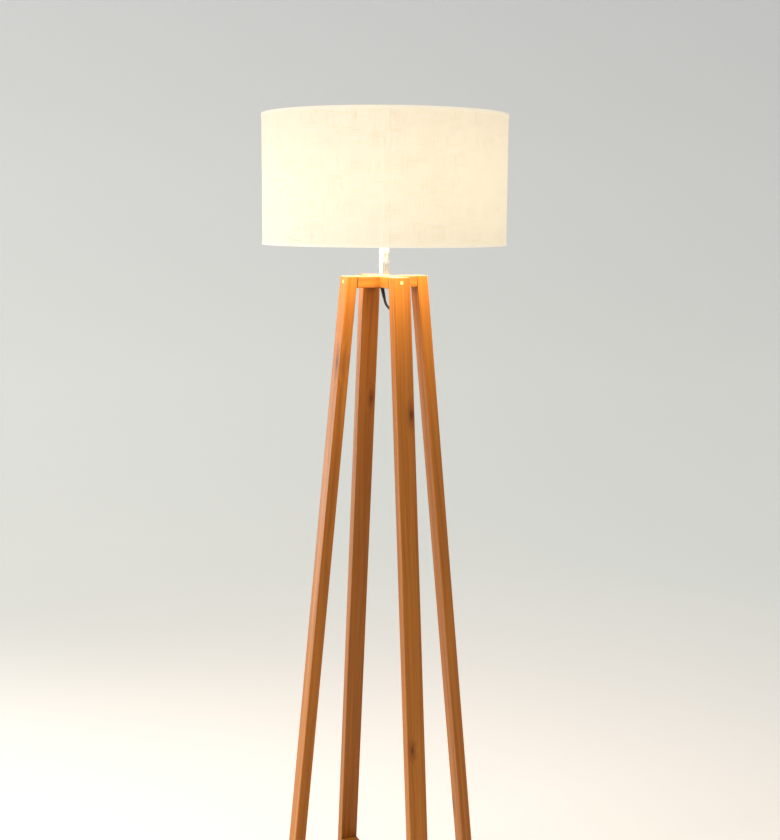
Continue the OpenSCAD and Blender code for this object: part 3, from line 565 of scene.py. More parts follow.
def oiledPine(plan):
    # planed and oiled pine: rings cut lengthwise, fine fibre streaks, dark knots that turn the grain, paler along the
    # long corners
    material, tree, shader = startMaterial("planedOiledPine", IOR=1.47, Specular_IOR_Level=0.28)
    place = addNode(tree, "Attribute", attribute_name="barPlace")["Vector"]
    cut = addNode(tree, "Attribute", attribute_name="boardCut")["Vector"]
    log = addNode(tree, "VectorMath", {0: place, 1: cut}, operation="ADD")[0]
    near = None
    for leg, along, across, radius in plan["knots"]:
        spot = np.array([leg * 10 + along * mm, (boardCuts[leg][0] + across) * mm, boardCuts[leg][1] * mm])
        gap = addNode(tree, "VectorMath", {0: log, 1: tuple(spot.tolist())}, operation="SUBTRACT")[0]
        shrink = tuple(share / (radius * mm) for share in (0.36, 1, 0.25))
        gap = addNode(tree, "VectorMath", {0: gap, 1: shrink}, operation="MULTIPLY")[0]
        far = addNode(tree, "VectorMath", {0: gap}, operation="LENGTH")["Value"]
        near = far if near is None else calculate(tree, "MINIMUM", near, far)
    turnAside = easedRange(tree, near, 4.2, 0.4, 0.0, 8.5 * mm)
    sway = grainNoise(tree, log, plan["swayMm"], 2)
    sway = addNode(tree, "MapRange", {0: sway, 1: 0.0, 2: 1.0, 3: -11 * mm, 4: 11 * mm})[0]
    level = addNode(tree, "VectorMath", {0: log, 1: (0.004, 1, 1)}, operation="MULTIPLY")[0]
    radius = addNode(tree, "VectorMath", {0: level}, operation="LENGTH")["Value"]
    radius = calculate(tree, "ADD", calculate(tree, "ADD", radius, sway), turnAside)
    ring = calculate(tree, "FRACT", calculate(tree, "DIVIDE", radius, plan["ringMm"] * mm))
    late = addNode(tree, "ValToRGB", {0: ring}, [(0.0, "#484848"), (1.0, "#484848"), (0.12, "#000000"), (0.5, "#161616"),
                                                 (0.84, "#c8c8c8"), (0.93, "#d8d8d8")])[0]
    fibre = grainNoise(tree, log, plan["fibreMm"], 3)
    streak = grainNoise(tree, log, plan["streakMm"], 2)
    blend = calculate(tree, "MULTIPLY_ADD", streak, 1.25, calculate(tree, "MULTIPLY", late, 0.34))
    blend = addNode(tree, "Math", {0: blend, 1: -0.26}, operation="ADD", use_clamp=True)[0]
    tone = blendColours(tree, blend, plan["light"], plan["dark"])
    fine = addNode(tree, "MapRange", {0: fibre, 1: 0.3, 2: 0.7, 3: 0.9, 4: 1.08})[0]
    tone = blendColours(tree, 1.0, tone, fine, "MULTIPLY")
    tone = blendColours(tree, easedRange(tree, near, 3.2, 0.9, 0.0, 0.5), tone, plan["halo"])
    tone = blendColours(tree, easedRange(tree, near, 1.3, 0.5, 0.0, 0.7), tone, plan["knot"])
    apart = addNode(tree, "SeparateXYZ", {0: place})
    cornerBands = []
    for i, edge in ((1, legPlan["width"] / 2), (2, legPlan["thick"] / 2)):  # both near 1 only along a bar's corners
        side = calculate(tree, "ABSOLUTE", apart[i])
        cornerBands.append(easedRange(tree, side, (edge - 1.9) * mm, (edge - 0.3) * mm, 0.0, 1.0))
    # the bars are paler along their long corners
    cornerShare = calculate(tree, "MULTIPLY", calculate(tree, "MULTIPLY", *cornerBands), 0.16)
    tone = blendColours(tree, cornerShare, tone, plan["paleCorner"])
    marks = addNode(tree, "Attribute", attribute_name="endJointTone")["Vector"]
    parts = addNode(tree, "SeparateXYZ", {0: marks})
    # each board's tone, which on the back leg is painted shade
    tone = blendColours(tree, 1.0, tone, parts[2], "MULTIPLY")
    # painted shadow: a dark line on each beam close to the leg face it meets
    gap = calculate(tree, "SUBTRACT", parts[1], calculate(tree, "ABSOLUTE", apart[0]))
    tone = blendColours(tree, easedRange(tree, gap, 1.6 * mm, 0.7 * mm, 0.0, 0.85), tone, plan["jointShadow"])
    tone = blendColours(tree, calculate(tree, "MULTIPLY", parts[0], 0.35), tone, plan["endGrain"])
    gloss = addNode(tree, "MapRange", {0: streak, 1: 0.25, 2: 0.75, 3: 0.4, 4: 0.54})[0]
    height = calculate(tree, "MULTIPLY_ADD", fibre, 0.5, late)
    lift = addNode(tree, "Bump", {"Height": height, "Strength": 0.16, "Distance": 0.4 * mm})[0]
    connect(tree, shader, {"Base Color": tone, "Roughness": gloss, "Normal": lift})
    return material


pine = oiledPine(woodPlan)


def legGrid(quarter, number):
    # the eased section is carried up the leaning centre line and cut level; each end draws in by its easing and closes
    w, t, e = legPlan["width"] / 2, legPlan["thick"] / 2, legPlan["ease"]
    ring = eased([(-w, -t, e), (w, -t, e), (w, t, e), (-w, t, e)], closed=True)
    a = np.linspace(0, math.pi / 2, 5)
    d = legPlan["endEase"]
    inset = np.concatenate([[99], d * (1 - np.sin(a)), [0]])
    rise = np.concatenate([[0], d * (1 - np.cos(a)), [d + 1.5]])
    z = np.concatenate([legPlan["bottom"] + rise, np.linspace(60, 1240, 60), (legPlan["top"] - rise)[::-1]])
    inset = np.concatenate([inset, np.zeros(60), inset[::-1]])
    scale = np.clip(1 - inset[:, None] / np.array([[w, t]]), 0, 1)
    across, through = scale[:, :1] * ring[None, :, 0], scale[:, 1:] * ring[None, :, 1]
    slope = math.tan(legPlan["splay"])
    out = legPlan["topRadius"] + slope * (legPlan["top"] - z[:, None]) + through / math.cos(legPlan["splay"])
    turnBy = quarter * turn / 4
    c, s = math.cos(turnBy), math.sin(turnBy)
    points = np.stack([out * c - across * s, out * s + across * c, z[:, None] + 0 * out], -1)
    along = z[:, None] / math.cos(legPlan["splay"]) + 0 * out
    place = np.stack([along, across, through], -1)
    ends = np.zeros_like(place) + (0, 9, boardToneAndShade[number])  # end grain, distance to the nearest joint where a painted shadow line falls, and tone with painted shade on the back leg
    ends[..., 0] = (inset > 0.4)[:, None]
    cut = np.zeros_like(place) + (number * 10 / mm, *boardCuts[number])
    return points * mm, place * mm, cut * mm, ends


for legName, quarter, number in (("front", 3, 1), ("right", 0, 2), ("back", 1, 3), ("left", 2, 4)):
    points, place, cut, ends = legGrid(quarter, number)
    written = {"barPlace": place, "boardCut": cut, "endJointTone": ends}
    addPiece("timberLeg." + legName, [points], pine, "stand", ("leg_" + legName,),
             values={key: ("FLOAT_VECTOR", [data]) for key, data in written.items()})


def finishBeam(node, number, alongY):
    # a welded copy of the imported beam, with its own place along, across and through each bar written on every point
    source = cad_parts[node]
    mesh = source.data.copy()
    work = bmesh.new()
    work.from_mesh(mesh)
    bmesh.ops.remove_doubles(work, verts=work.verts, dist=1e-6)
    work.to_mesh(mesh)
    work.free()
    mesh.materials.clear()
    co = np.empty(len(mesh.vertices) * 3, np.float32)
    mesh.vertices.foreach_get("co", co)
    co = co.reshape(-1, 3)
    middle = (co[:, 2].min() + co[:, 2].max()) / 2
    place = np.stack([co[:, 1 if alongY else 0], co[:, 0 if alongY else 1], co[:, 2] - middle], 1)
    cut = np.zeros_like(place) + np.array([number * 10, boardCuts[number][0] * mm, boardCuts[number][1] * mm])
    # where each leg's inner face stands, for the painted shadow line on the beam
    joint = (legRadius(co[:, 2] / mm) - legPlan["thick"] / 2 / math.cos(legPlan["splay"])) * mm
    marks = np.stack([0 * joint, joint, 0 * joint + boardToneAndShade[number]], 1)
    for key, data in (("barPlace", place), ("boardCut", cut), ("endJointTone", marks)):
        mesh.attributes.new(key, "FLOAT_VECTOR", "POINT").data.foreach_set("vector", data.astype(np.float32).reshape(-1))
    mesh.polygons.foreach_set("use_smooth", np.ones(len(mesh.polygons), bool))
    mesh.set_sharp_from_angle(angle=math.radians(32))
    return placePiece(bpy.data.objects.new("timberBeam." + node, mesh), pine, "stand", (node,))


for node, number, alongY in (("head_beam_long", 5, True), ("head_beam_cross", 6, False),
                             ("foot_beam_long", 7, True), ("foot_beam_cross", 8, False)):
    finishBeam(node, number, alongY)


def turnedPlugWood():  # pale beech plug, its face grain crossed by short flecks, with a dark glue line at its rim
    material, tree, shader = startMaterial("sawnBeechPlug", IOR=1.48)
    place = addNode(tree, "TexCoord")["Object"]
    scaled = addNode(tree, "Mapping", {0: place, 3: (1 / (1.11 * mm), 1 / (1.11 * mm), 1 / (8.33 * mm))})[0]
    fleck = addNode(tree, "TexNoise", {"Vector": scaled, "Scale": 1, "Detail": 2})[0]
    rim = addNode(tree, "UVMap", uv_map="surfaceMap")[0]
    rim = addNode(tree, "SeparateXYZ", {0: rim})[0]
    dark = easedRange(tree, rim, 0.72, 0.95, 0.0, 0.8)
    tone = addNode(tree, "ValToRGB", {0: fleck}, [(0.35, "#e8b877"), (0.7, "#d9a360")])[0]
    tone = blendColours(tree, dark, tone, "#7a4316")
    gloss = addNode(tree, "MapRange", {0: fleck, 1: 0.3, 2: 0.7, 3: 0.42, 4: 0.56})[0]
    connect(tree, shader, {"Base Color": tone, "Roughness": gloss})
    return material


plugWood = turnedPlugWood()


facePlugPlan = {"radius": 4.0, "proud": 0.3, "deep": 5.0, "ease": 0.35}


def facePlugGrids(plan, jointZ):
    # a short round peg on each leg's outer face: a flat face with an eased rim, and sides going into the leg
    r, deep = plan["radius"], -plan["deep"]
    profile = eased([(0, plan["proud"], 0), (r, plan["proud"], plan["ease"]), (r, deep, 0), (0, deep, 0)])
    peg = turned(profile, 40) / mm
    share = np.stack([np.hypot(peg[..., 0], peg[..., 1]) / r, 0 * peg[..., 0]], -1)
    laid = peg[..., [2, 0, 1]] + (legPlan["thick"] / 2, 0, 0)
    return [onLeg(laid, jointZ, quarter) * mm for quarter in range(4)], [share] * 4


for label, jointZ, node in (("head", legPlan["headJoint"], "head_plugs"), ("foot", legPlan["footJoint"], "foot_plugs")):
    grids, share = facePlugGrids(facePlugPlan, jointZ)
    addPiece("woodPlugs." + label, grids, plugWood, "stand", (node,), uv=share)


def feltGrey():  # pressed wool felt: matted fibres, dull and slightly hairy
    material, tree, shader = startMaterial("pressedWoolFelt", Roughness=0.95, Sheen_Weight=0.4, Sheen_Roughness=0.6)
    place = addNode(tree, "TexCoord")["Object"]
    mat = addNode(tree, "TexNoise", {"Vector": place, "Scale": 1 / (1.11 * mm), "Detail": 4, "Distortion": 1.5})[0]
    tone = addNode(tree, "ValToRGB", {0: mat}, [(0.3, "#3b3836"), (0.7, "#5d5955")])[0]
    lift = addNode(tree, "Bump", {"Height": mat, "Strength": 0.5, "Distance": 0.5 * mm})[0]
    connect(tree, shader, {"Base Color": tone, "Normal": lift})
    return material


glidePlan = {"profile": [(0, 0, 0), (9, 0, 0.8), (9, 3, 0.5), (0, 3, 0)]}


def glideGrids(plan):  # a thin turned pad under each leg
    pad, a = turned(eased(plan["profile"]), 48), np.arange(4) * turn / 4
    return [pad + place * legRadius(0) * mm for place in np.stack([np.cos(a), np.sin(a), 0 * a], 1)]


addPiece("footGlides", glideGrids(glidePlan), feltGrey(), "stand", ("foot_glides",))
print("timber made")


stemPlan = {
    "radius": 9.5, "base": 1283.0, "top": 1344.0, "cap": 1346.0, "spigot": 8.0, "spigotZ": 1264.0, "bore": 6.5,
    "capBore": 5.0, "capZ": 1333.0, "line": 0.25,  # depth of the turned line above the foot
}


def stemProfiles(plan):
    # tube: up the spigot, out to the foot, in and out at the turned line, up to the top and down the bore; and its cap
    bore, spigot, r, base = plan["bore"], plan["spigot"], plan["radius"], plan["base"]
    groove, top = r - plan["line"], plan["top"]
    tube = [(bore, plan["spigotZ"], 0), (spigot, plan["spigotZ"], 0.5), (spigot, base, 0), (r, base, 0.35),
            (r, base + 1.7, 0.2), (groove, base + 1.9, 0.1), (groove, base + 2.3, 0.1), (r, base + 2.5, 0.2),
            (r, top, 0.3), (bore, top, 0), (bore, plan["spigotZ"], 0)]
    low, inner = plan["capZ"], plan["capBore"]
    cap = [(inner, low, 0), (bore, low, 0.3), (bore, top + 0.05, 0), (r, top + 0.05, 0.35), (r, plan["cap"], 0.5),
           (inner, plan["cap"], 0), (inner, low, 0)]
    return eased(tube), eased(cap)


tubeProfile, topCapProfile = stemProfiles(stemPlan)
addPiece("stemTube", [turned(tubeProfile, 96)], nickel, "stand", ("stem_tube",))
addPiece("stemTopCap", [turned(topCapProfile, 96)], nickel, "stand", ("stem_top_plug",))

nutPlan = {
    "nut": dict(inner=8, outer=12, low=1264, high=1268.5, slots=6, deep=1.1, ease=0.5),
    "washer": [(8, 1268.5, 0.2), (13, 1268.5, 0.4), (13, 1270, 0.4), (8, 1270, 0.2)],
}


def nutGrid(inner, outer, low, high, slots, deep, ease):
    # a ring whose outer radius drops by the slot depth over short arcs
    profile = eased([(inner, low, 0.2), (outer, low, ease), (outer, high, ease), (inner, high, 0.2)], closed=True)

    def notch(r, z, a):
        near = np.abs((a * slots / turn + 0.5) % 1 - 0.5)
        return np.where(r > inner + 1, r - deep * smoothStep((0.14 - near) / 0.04), r)
    return turned(profile, 192, notch)


addPiece("stemNut", [nutGrid(**nutPlan["nut"])], zincSteel, "stand", ("stem_ring_nut",))
washerProfile = eased(nutPlan["washer"], closed=True)
addPiece("stemWasher", [turned(washerProfile, 96)], zincSteel, "stand", ("stem_washer",))

holderPlan = {
    "cap": [(5, 1346, 0), (9, 1346, 0.5), (9.5, 1349, 0.8), (13, 1352, 1.2), (17, 1356, 1.2), (19.5, 1361, 1.0),
            (19.5, 1365.9, 0.3), (17.5, 1365.9, 0.2), (17.5, 1362, 0.6), (15.5, 1357.5, 0.6), (12, 1354, 0.6),
            (8, 1351, 0.5), (5, 1351, 0), (5, 1346, 0)],
    "sleeve": [(17, 1366.1, 0.2), (23, 1366.1, 0.6), (23, 1369, 0.4), (19.6, 1369, 0.1),
               *[(19.5, z, 0) for z in np.linspace(1369.3, 1397.4, 110)], (19.3, 1398, 0.2),
               (15.2, 1398, 0.4), (15.2, 1396, 0.2), (17, 1395.8, 0.2)],
    "ribs": 48, "ribDeep": 0.35, "pitch": 2.0, "ridgeDeep": 0.55,
    "ringNut": [(19.8, 1371.7, 0.4), (26.5, 1371.7, 0.9), (26.5, 1375.7, 0), (26.5, 1379.7, 0.9), (22.4, 1379.7, 0.5),
                (21.4, 1378.9, 0.4), (19.8, 1378.9, 0.4)],
    "hollows": 18, "hollowDeep": 0.8,
}


def gripRibs(r, z, a):  # upright finger ribs round the widest band of the cap
    band = smoothStep((z - 1360.8) / 0.8) * smoothStep((1365.4 - z) / 0.6) * (r > 18.6)
    return r - holderPlan["ribDeep"] * band * (0.5 - 0.5 * np.cos(a * holderPlan["ribs"]))


def screwRidges(r, z, a):  # the ring nut's thread: ridges one pitch apart that climb once a turn
    band = smoothStep((z - 1370) / 1.0) * smoothStep((1396.5 - z) / 1.0) * (r > 19)
    return r - holderPlan["ridgeDeep"] * band * (0.5 - 0.5 * np.cos(turn * z / holderPlan["pitch"] - a))


capGrid = turned(eased(holderPlan["cap"]), 240, gripRibs)
sleeveGrid = turned(eased(holderPlan["sleeve"], closed=True), 144, screwRidges)
addPiece("holderCap", [capGrid], holderPlastic, "stand", ("holder_cap",))
addPiece("holderSleeve", [sleeveGrid], holderPlastic, "stand", ("holder_sleeve",))


def fingerHollows(r, z, a):  # the ring nut's radius drops by the hollow depth at each finger hollow
    return r - holderPlan["hollowDeep"] * (r > 25) * (0.5 - 0.5 * np.cos(a * holderPlan["hollows"])) ** 2


ringNutGrid = turned(eased(holderPlan["ringNut"], closed=True), 216, fingerHollows)
addPiece("shadeRingNut", [ringNutGrid], holderPlastic, "ring_nut", ("shade_ring_nut",))
print("stem and lampholder made")


bulbPlan = {
    "glow": 7.0, "glowColour": "#ffe6c4", "pitch": 3.62, "depth": 0.95, "ballRadius": 30.0, "ballZ": 1458.16,
    "rim": 15.96, "wall": 1.2, "lip": (24.2, 1442.2), "bodyZ": 1405.2,
    "body": [(11, 0, 0), (13.8, 0, 0.4), (15, 4, 2), (18.5, 12, 4), (22, 21, 4), (24.5, 30, 3), (25.4, 36.9, 0.3),
             (23.9, 36.9, 0.2), (23.9, 34, 0), (22.9, 34, 0), (22.9, 30, 1), (20.4, 21, 2), (16.9, 12, 2), (13.4, 4, 1),
             (11, 2, 0), (11, 0, 0)],  # height above bodyZ
    "cap": [(11.4, 1386.3, 0), (12.7, 1386.2, 0.3), *[(13.2, z, 0) for z in np.linspace(1386.6, 1404.9, 130)],
            (13.1, 1405.2, 0), (11.4, 1405.2, 0)],
    "insulator": [(0, 1386.2, 0), (12.9, 1386.2, 0.4), (11.2, 1384.6, 1.2), (7.4, 1382.9, 1.5), (4.6, 1382.3, 0.3),
                  (0, 1382.3, 0)],
    "tip": [(0, 1382.4, 0), (4.4, 1382.4, 0.2), (4.2, 1381.4, 0.8), (2.6, 1380.5, 1.2), (0, 1380.2, 0)],
}


def opalGlow(plan):  # opal polycarbonate dome, lit from behind: bright all over and a little warmer near its rim
    material, tree, shader = startMaterial("opalPolycarbonateLit", Roughness=0.35, IOR=1.58)
    place = addNode(tree, "TexCoord")["Object"]
    height = addNode(tree, "SeparateXYZ", {0: place})[2]
    share = easedRange(tree, height, 1442 * mm, 1452 * mm, 0.35, 1.0)
    mist = addNode(tree, "TexNoise", {"Vector": place, "Scale": 1 / (11 * mm), "Detail": 2})[0]
    mist = addNode(tree, "MapRange", {0: mist, 1: 0.3, 2: 0.7, 3: 0.94, 4: 1.04})[0]
    power = calculate(tree, "MULTIPLY", calculate(tree, "MULTIPLY", share, mist), plan["glow"])
    connect(tree, shader, {"Base Color": linearColour("#fff6e8"), "Emission Color": linearColour(plan["glowColour"]),
                           "Emission Strength": power})
    return material


def domeProfile(plan):
    # part of a circle, (R cos a, height + R sin a), down to the rim, and back up on a circle smaller by the wall
    a = np.linspace(-math.asin(plan["rim"] / plan["ballRadius"]), math.pi / 2, 40)
    outer = np.stack([plan["ballRadius"] * np.cos(a), plan["ballZ"] + plan["ballRadius"] * np.sin(a)], 1)
    r = plan["ballRadius"] - plan["wall"]
    inner = np.stack([r * np.cos(a[::-1]), plan["ballZ"] + r * np.sin(a[::-1])], 1)
    inner[-1] = plan["lip"]
    return np.vstack([outer, inner, outer[:1]])


def capThread(r, z, a):  # a rolled thread: rounded crests one pitch apart that climb once a turn, fading out at both ends
    band = smoothStep((z - 1386.6) / 1.4) * smoothStep((1404 - z) / 1.4) * (r > 12.2)
    return r - bulbPlan["depth"] * band * (0.5 - 0.5 * np.cos(turn * z / bulbPlan["pitch"] - a))


bodyProfile = eased([(r, bulbPlan["bodyZ"] + z, ease) for r, z, ease in bulbPlan["body"]], steps=6)
capRing = turned(eased(bulbPlan["cap"], closed=True), 96, capThread)
addPiece("bulbDome", [turned(domeProfile(bulbPlan), 96)], opalGlow(bulbPlan), "bulb", ("bulb_dome",))
addPiece("bulbBody", [turned(bodyProfile, 96)], lampShell, "bulb", ("bulb_body",))
addPiece("bulbScrewCap", [capRing], capMetal, "bulb", ("bulb_cap",))
for name, key, steps, material, slotName, node in (
        ("bulbInsulator", "insulator", 72, vitrite, "black_glass", "bulb_insulator"),
        ("bulbContact", "tip", 48, capMetal, "cap_aluminium", "bulb_tip")):
    addPiece(name, [turned(eased(bulbPlan[key], steps=5), steps)], material, "bulb", (node,))
print("bulb made")


shadePlan = {
    "radius": 225.0, "low": 1340.0, "high": 1575.0, "trimHigh": 5.5, "trimOut": 0.6, "trimInside": 219.2, "cloth": 0.45,
    "seamAt": 248.0, "lap": 12.0, "liner": (223.2, 224.2), "linerEdge": 0.6,
    "threadMm": 1.25, "tapeThreadMm": 0.8,  # the real threads are 0.5 mm apart, drawn coarser so that they show
    "slubMm": (38.46, 1.613),               # length and thickness of the slubs
    "cloths": ("#e9e2d5", "#cfc6b6"), "tapes": ("#f2eee4", "#e4ddcf"),  # thin places, and thick ones
    "glow": 0.52, "glowColour": "#ffe6b4", "bulbZ": 1458.0,
    "inside": 0.55,     # the backing glows a little more along its lower edge
    "wireAt": (("top", 1572.4), ("bottom", 1342.6)), "wireRing": 221.2, "wire": 2.0,
    "rod": ((219.9, 1342.8), (26.4, 1370.2)), "rodRadius": 1.75,  # from the lower wire to the fitter: radius and height
    "fitter": [(20.3, 1369.1, 0.5), (27, 1369.1, 0.7), (27, 1371.6, 0.7), (20.3, 1371.6, 0.5)],
}


def clothWeave(name, plan, colours, threadMm, slubDepth, dim=1.0):
    # plain-woven linen on a backing: crossing threads, long thick slubs both ways, and lamplight that comes through
    material, tree, shader = startMaterial(name, Roughness=0.86, IOR=1.45, Sheen_Weight=0.12, Sheen_Roughness=0.5)
    uv = addNode(tree, "UVMap", uv_map="surfaceMap")[0]
    thread = addNode(tree, "Mapping", {0: uv, 3: (turn / (threadMm * mm), turn / (threadMm * mm), 1)})[0]
    wobble = addNode(tree, "TexNoise", {"Vector": uv, "Scale": 1 / (7.143 * mm), "Detail": 2})["Color"]
    bent = addNode(tree, "VectorMath", {0: wobble, 1: (2.2, 2.2, 0), 2: thread}, operation="MULTIPLY_ADD")[0]
    parts = addNode(tree, "SeparateXYZ", {0: bent})
    weave = calculate(tree, "MULTIPLY", *[calculate(tree, "SINE", parts[i]) for i in (0, 1)])
    slubs = []
    along, across = 1 / (plan["slubMm"][0] * mm), 1 / (plan["slubMm"][1] * mm)
    for stretch in ((along, across, 1), (across, along, 1)):
        laid = addNode(tree, "Mapping", {0: uv, 3: stretch})[0]
        noise = addNode(tree, "TexNoise", {"Vector": laid, "Scale": 1, "Detail": 3, "Roughness": 0.6})[0]
        slubs.append(easedRange(tree, noise, 0.5, 0.74, 0.0, 1.0))
    cloud = addNode(tree, "TexNoise", {"Vector": uv, "Scale": 1 / (45.45 * mm), "Detail": 3})[0]
    thick = calculate(tree, "MULTIPLY_ADD", weave, 0.16, calculate(tree, "MAXIMUM", *slubs))
    thick = calculate(tree, "MULTIPLY_ADD", cloud, 0.35, thick)
    tone = blendColours(tree, thick, *colours)
    lift = addNode(tree, "Bump", {"Height": thick, "Strength": 0.3, "Distance": 0.5 * mm})[0]
    # the glow falls with height from the bulb as (1 + (height / radius) squared) to the power -0.9, less in thick cloth
    height = addNode(tree, "SeparateXYZ", {0: addNode(tree, "TexCoord")["Object"]})[2]
    away = calculate(tree, "ADD", height, -plan["bulbZ"] * mm)
    away = calculate(tree, "MULTIPLY", away, 1 / (plan["radius"] * mm))
    fall = calculate(tree, "POWER", calculate(tree, "MULTIPLY_ADD", away, away, 1.0), -0.9)
    veil = addNode(tree, "MapRange", {0: thick, 1: 0.0, 2: 1.1, 3: dim, 4: dim * (1 - slubDepth)})[0]
    power = calculate(tree, "MULTIPLY", calculate(tree, "MULTIPLY", fall, veil), plan["glow"])
    connect(tree, shader, {"Base Color": tone, "Normal": lift, "Emission Color": linearColour(plan["glowColour"]),
                           "Emission Strength": power})
    return material


def fabricGrid(plan):
    # the cloth goes once round: angle by arc length, and its far end steps out over the start by its own thickness
    middle = plan["radius"] - plan["cloth"] / 2
    start = math.radians(plan["seamAt"]) - plan["lap"] / 2 / middle
    once = turn * middle
    arc = np.concatenate([np.linspace(0, once - 3, 420, endpoint=False), np.linspace(once - 3, once + plan["lap"], 16)])
    v = np.linspace(plan["low"] + plan["trimOut"], plan["high"] - plan["trimOut"], 41)[:, None]
    out = plan["cloth"] * smoothStep((arc - once + 2.5) / 2.5)[None, :]
    slack = 0.12 * np.sin(arc / 61)[None, :] * np.sin(math.pi * (v - plan["low"]) / (plan["high"] - plan["low"]))
    r, a = middle + out - 0.12 + slack, start + arc[None, :] / middle
    points = np.stack([r * np.cos(a), r * np.sin(a), v + 0 * a], -1) * mm
    flat = (arc[-1] * mm, float(v[-1, 0] - v[0, 0]) * mm)
    return points, np.stack([arc[None, :] + 0 * v, v + 0 * arc[None, :]], -1) * mm, flat


linen = clothWeave("wovenLinenOnBacking", shadePlan, shadePlan["cloths"], shadePlan["threadMm"], 0.12)
trimTape = clothWeave("wovenCottonTape", shadePlan, shadePlan["tapes"], shadePlan["tapeThreadMm"], 0.1, 0.8)
fabricPoints, fabricMap, fabricFlat = fabricGrid(shadePlan)
fabric = addPiece("shadeFabric", [fabricPoints], linen, "shade", ("shade_fabric", "shade_seam"),
                  uv=[fabricMap], outward=False)
thicken = fabric.modifiers.new("clothThickness", "SOLIDIFY")
thicken.thickness, thicken.offset = shadePlan["cloth"] * mm, 0


def backingSheet(plan):  # laminated styrene backing: a clean satin white, faintly mottled, glowing with the lamp behind it
    material, tree, shader = startMaterial("laminatedStyreneBacking", Roughness=0.45, IOR=1.55)
    place = addNode(tree, "TexCoord")["Object"]
    cloud = addNode(tree, "TexNoise", {"Vector": place, "Scale": 1 / (29.4 * mm), "Detail": 3})[0]
    tone = addNode(tree, "ValToRGB", {0: cloud}, [(0.3, "#f3efe6"), (0.7, "#e8e2d6")])[0]
    grit = addNode(tree, "TexNoise", {"Vector": place, "Scale": 1 / (1.43 * mm), "Detail": 2})[0]
    height = addNode(tree, "SeparateXYZ", {0: place})[2]
    low, high = plan["low"] * mm, plan["high"] * mm
    fall = addNode(tree, "MapRange", {0: height, 1: low, 2: high, 3: plan["inside"], 4: plan["inside"] * 0.7})[0]
    lift = addNode(tree, "Bump", {"Height": grit, "Strength": 0.08, "Distance": 0.3 * mm})[0]
    connect(tree, shader, {"Base Color": tone, "Emission Color": linearColour("#ffe4ba"), "Emission Strength": fall,
                           "Normal": lift})
    return material


def linerGrid(plan):  # a thin wall turned once round, closed at its edges
    (inner, outer), low, high = plan["liner"], plan["low"] + plan["linerEdge"], plan["high"] - plan["linerEdge"]
    return turned(eased([(inner, low, 0.2), (outer, low, 0.2), (outer, high, 0.2), (inner, high, 0.2)], closed=True), 360)


addPiece("shadeLiner", [linerGrid(shadePlan)], backingSheet(shadePlan), "shade", ("shade_liner",))


def trimGrid(plan, low):
    # tape folded round the wire: up the outside over the cloth, under the edge, and back inside to the wire
    edge, side = (plan["low"], 1) if low else (plan["high"], -1)
    inner, out, t, cloth = plan["trimInside"], plan["radius"] + plan["trimOut"], plan["trimOut"], plan["radius"] + 0.02
    line = [(inner, t, 0.2), (inner, 0, 0.28), (out, 0, 0.9), (out, plan["trimHigh"], 0.3),
            (cloth, plan["trimHigh"], 0.1), (cloth, t, 0.2)]
    profile = eased([(r, edge + side * z, e) for r, z, e in line], closed=True, steps=5)
    grid = turned(profile, 420, lambda r, z, a: r + 0.05 * np.sin(a * 37) * (r > 225.3))
    arc = np.linspace(0, turn * plan["radius"], 421)[None, :] + 0 * grid[..., 0]
    steps = np.linalg.norm(np.diff(profile, axis=0), axis=1)
    along = np.cumsum(np.concatenate([[0], steps]))[:, None] + 0 * arc
    return grid, np.stack([arc, along], -1) * mm


for label, low in (("bottom", True), ("top", False)):
    grid, tapeMap = trimGrid(shadePlan, low)
    addPiece("shadeTrim." + label, [grid], trimTape, "shade", ("shade_trim_" + label,),
                          uv=[tapeMap])


def coatedWire():  # powder-coated steel wire: even white with a fine orange-peel ripple
    material, tree, shader = startMaterial("powderCoatedSteelWire", IOR=1.5)
    place = addNode(tree, "TexCoord")["Object"]
    peel = addNode(tree, "TexNoise", {"Vector": place, "Scale": 1 / (1.92 * mm), "Detail": 2})[0]
    tone = addNode(tree, "ValToRGB", {0: peel}, [(0.3, "#f1efe9"), (0.75, "#e3e0d8")])[0]
    gloss = addNode(tree, "MapRange", {0: peel, 1: 0.3, 2: 0.7, 3: 0.3, 4: 0.42})[0]
    lift = addNode(tree, "Bump", {"Height": peel, "Strength": 0.2, "Distance": 0.3 * mm})[0]
    connect(tree, shader, {"Base Color": tone, "Roughness": gloss, "Normal": lift})
    return material


whiteWire = coatedWire()


def wireRingGrid(plan, z):  # a round wire carried once round
    a = np.linspace(0, turn, 21)
    return turned(np.stack([plan["wireRing"] + plan["wire"] * np.cos(a), z + plan["wire"] * np.sin(a)], 1), 288)


def spiderGrids(plan):
    # three straight rods from the lower wire to the fitter, each swelling to a weld at both ends
    (farRadius, low), (nearRadius, high) = plan["rod"]
    t = np.linspace(0, 1, 40)
    r, z = farRadius + (nearRadius - farRadius) * t, low + (high - low) * t
    thick = plan["rodRadius"] + 0.9 * np.exp(-(t * 196 / 1.6) ** 2) + 0.35 * np.exp(-((1 - t) * 196 / 1.6) ** 2)
    grids = []
    for k in range(3):
        a = math.radians(90 + 120 * k)
        path = np.stack([r * math.cos(a), r * math.sin(a), z], 1)
        grids.append(capped(tubeAlong(path, thick, 20)))
    return grids


for label, z in shadePlan["wireAt"]:
    addPiece("shadeWire." + label, [wireRingGrid(shadePlan, z)], whiteWire, "shade", (f"shade_{label}_wire",))
addPiece("shadeSpider", spiderGrids(shadePlan), whiteWire, "shade", ("shade_arms",))
fitterGrid = turned(eased(shadePlan["fitter"], closed=True), 120)
addPiece("shadeFitter", [fitterGrid], whiteWire, "shade", ("shade_fitter",))

print("shade made")


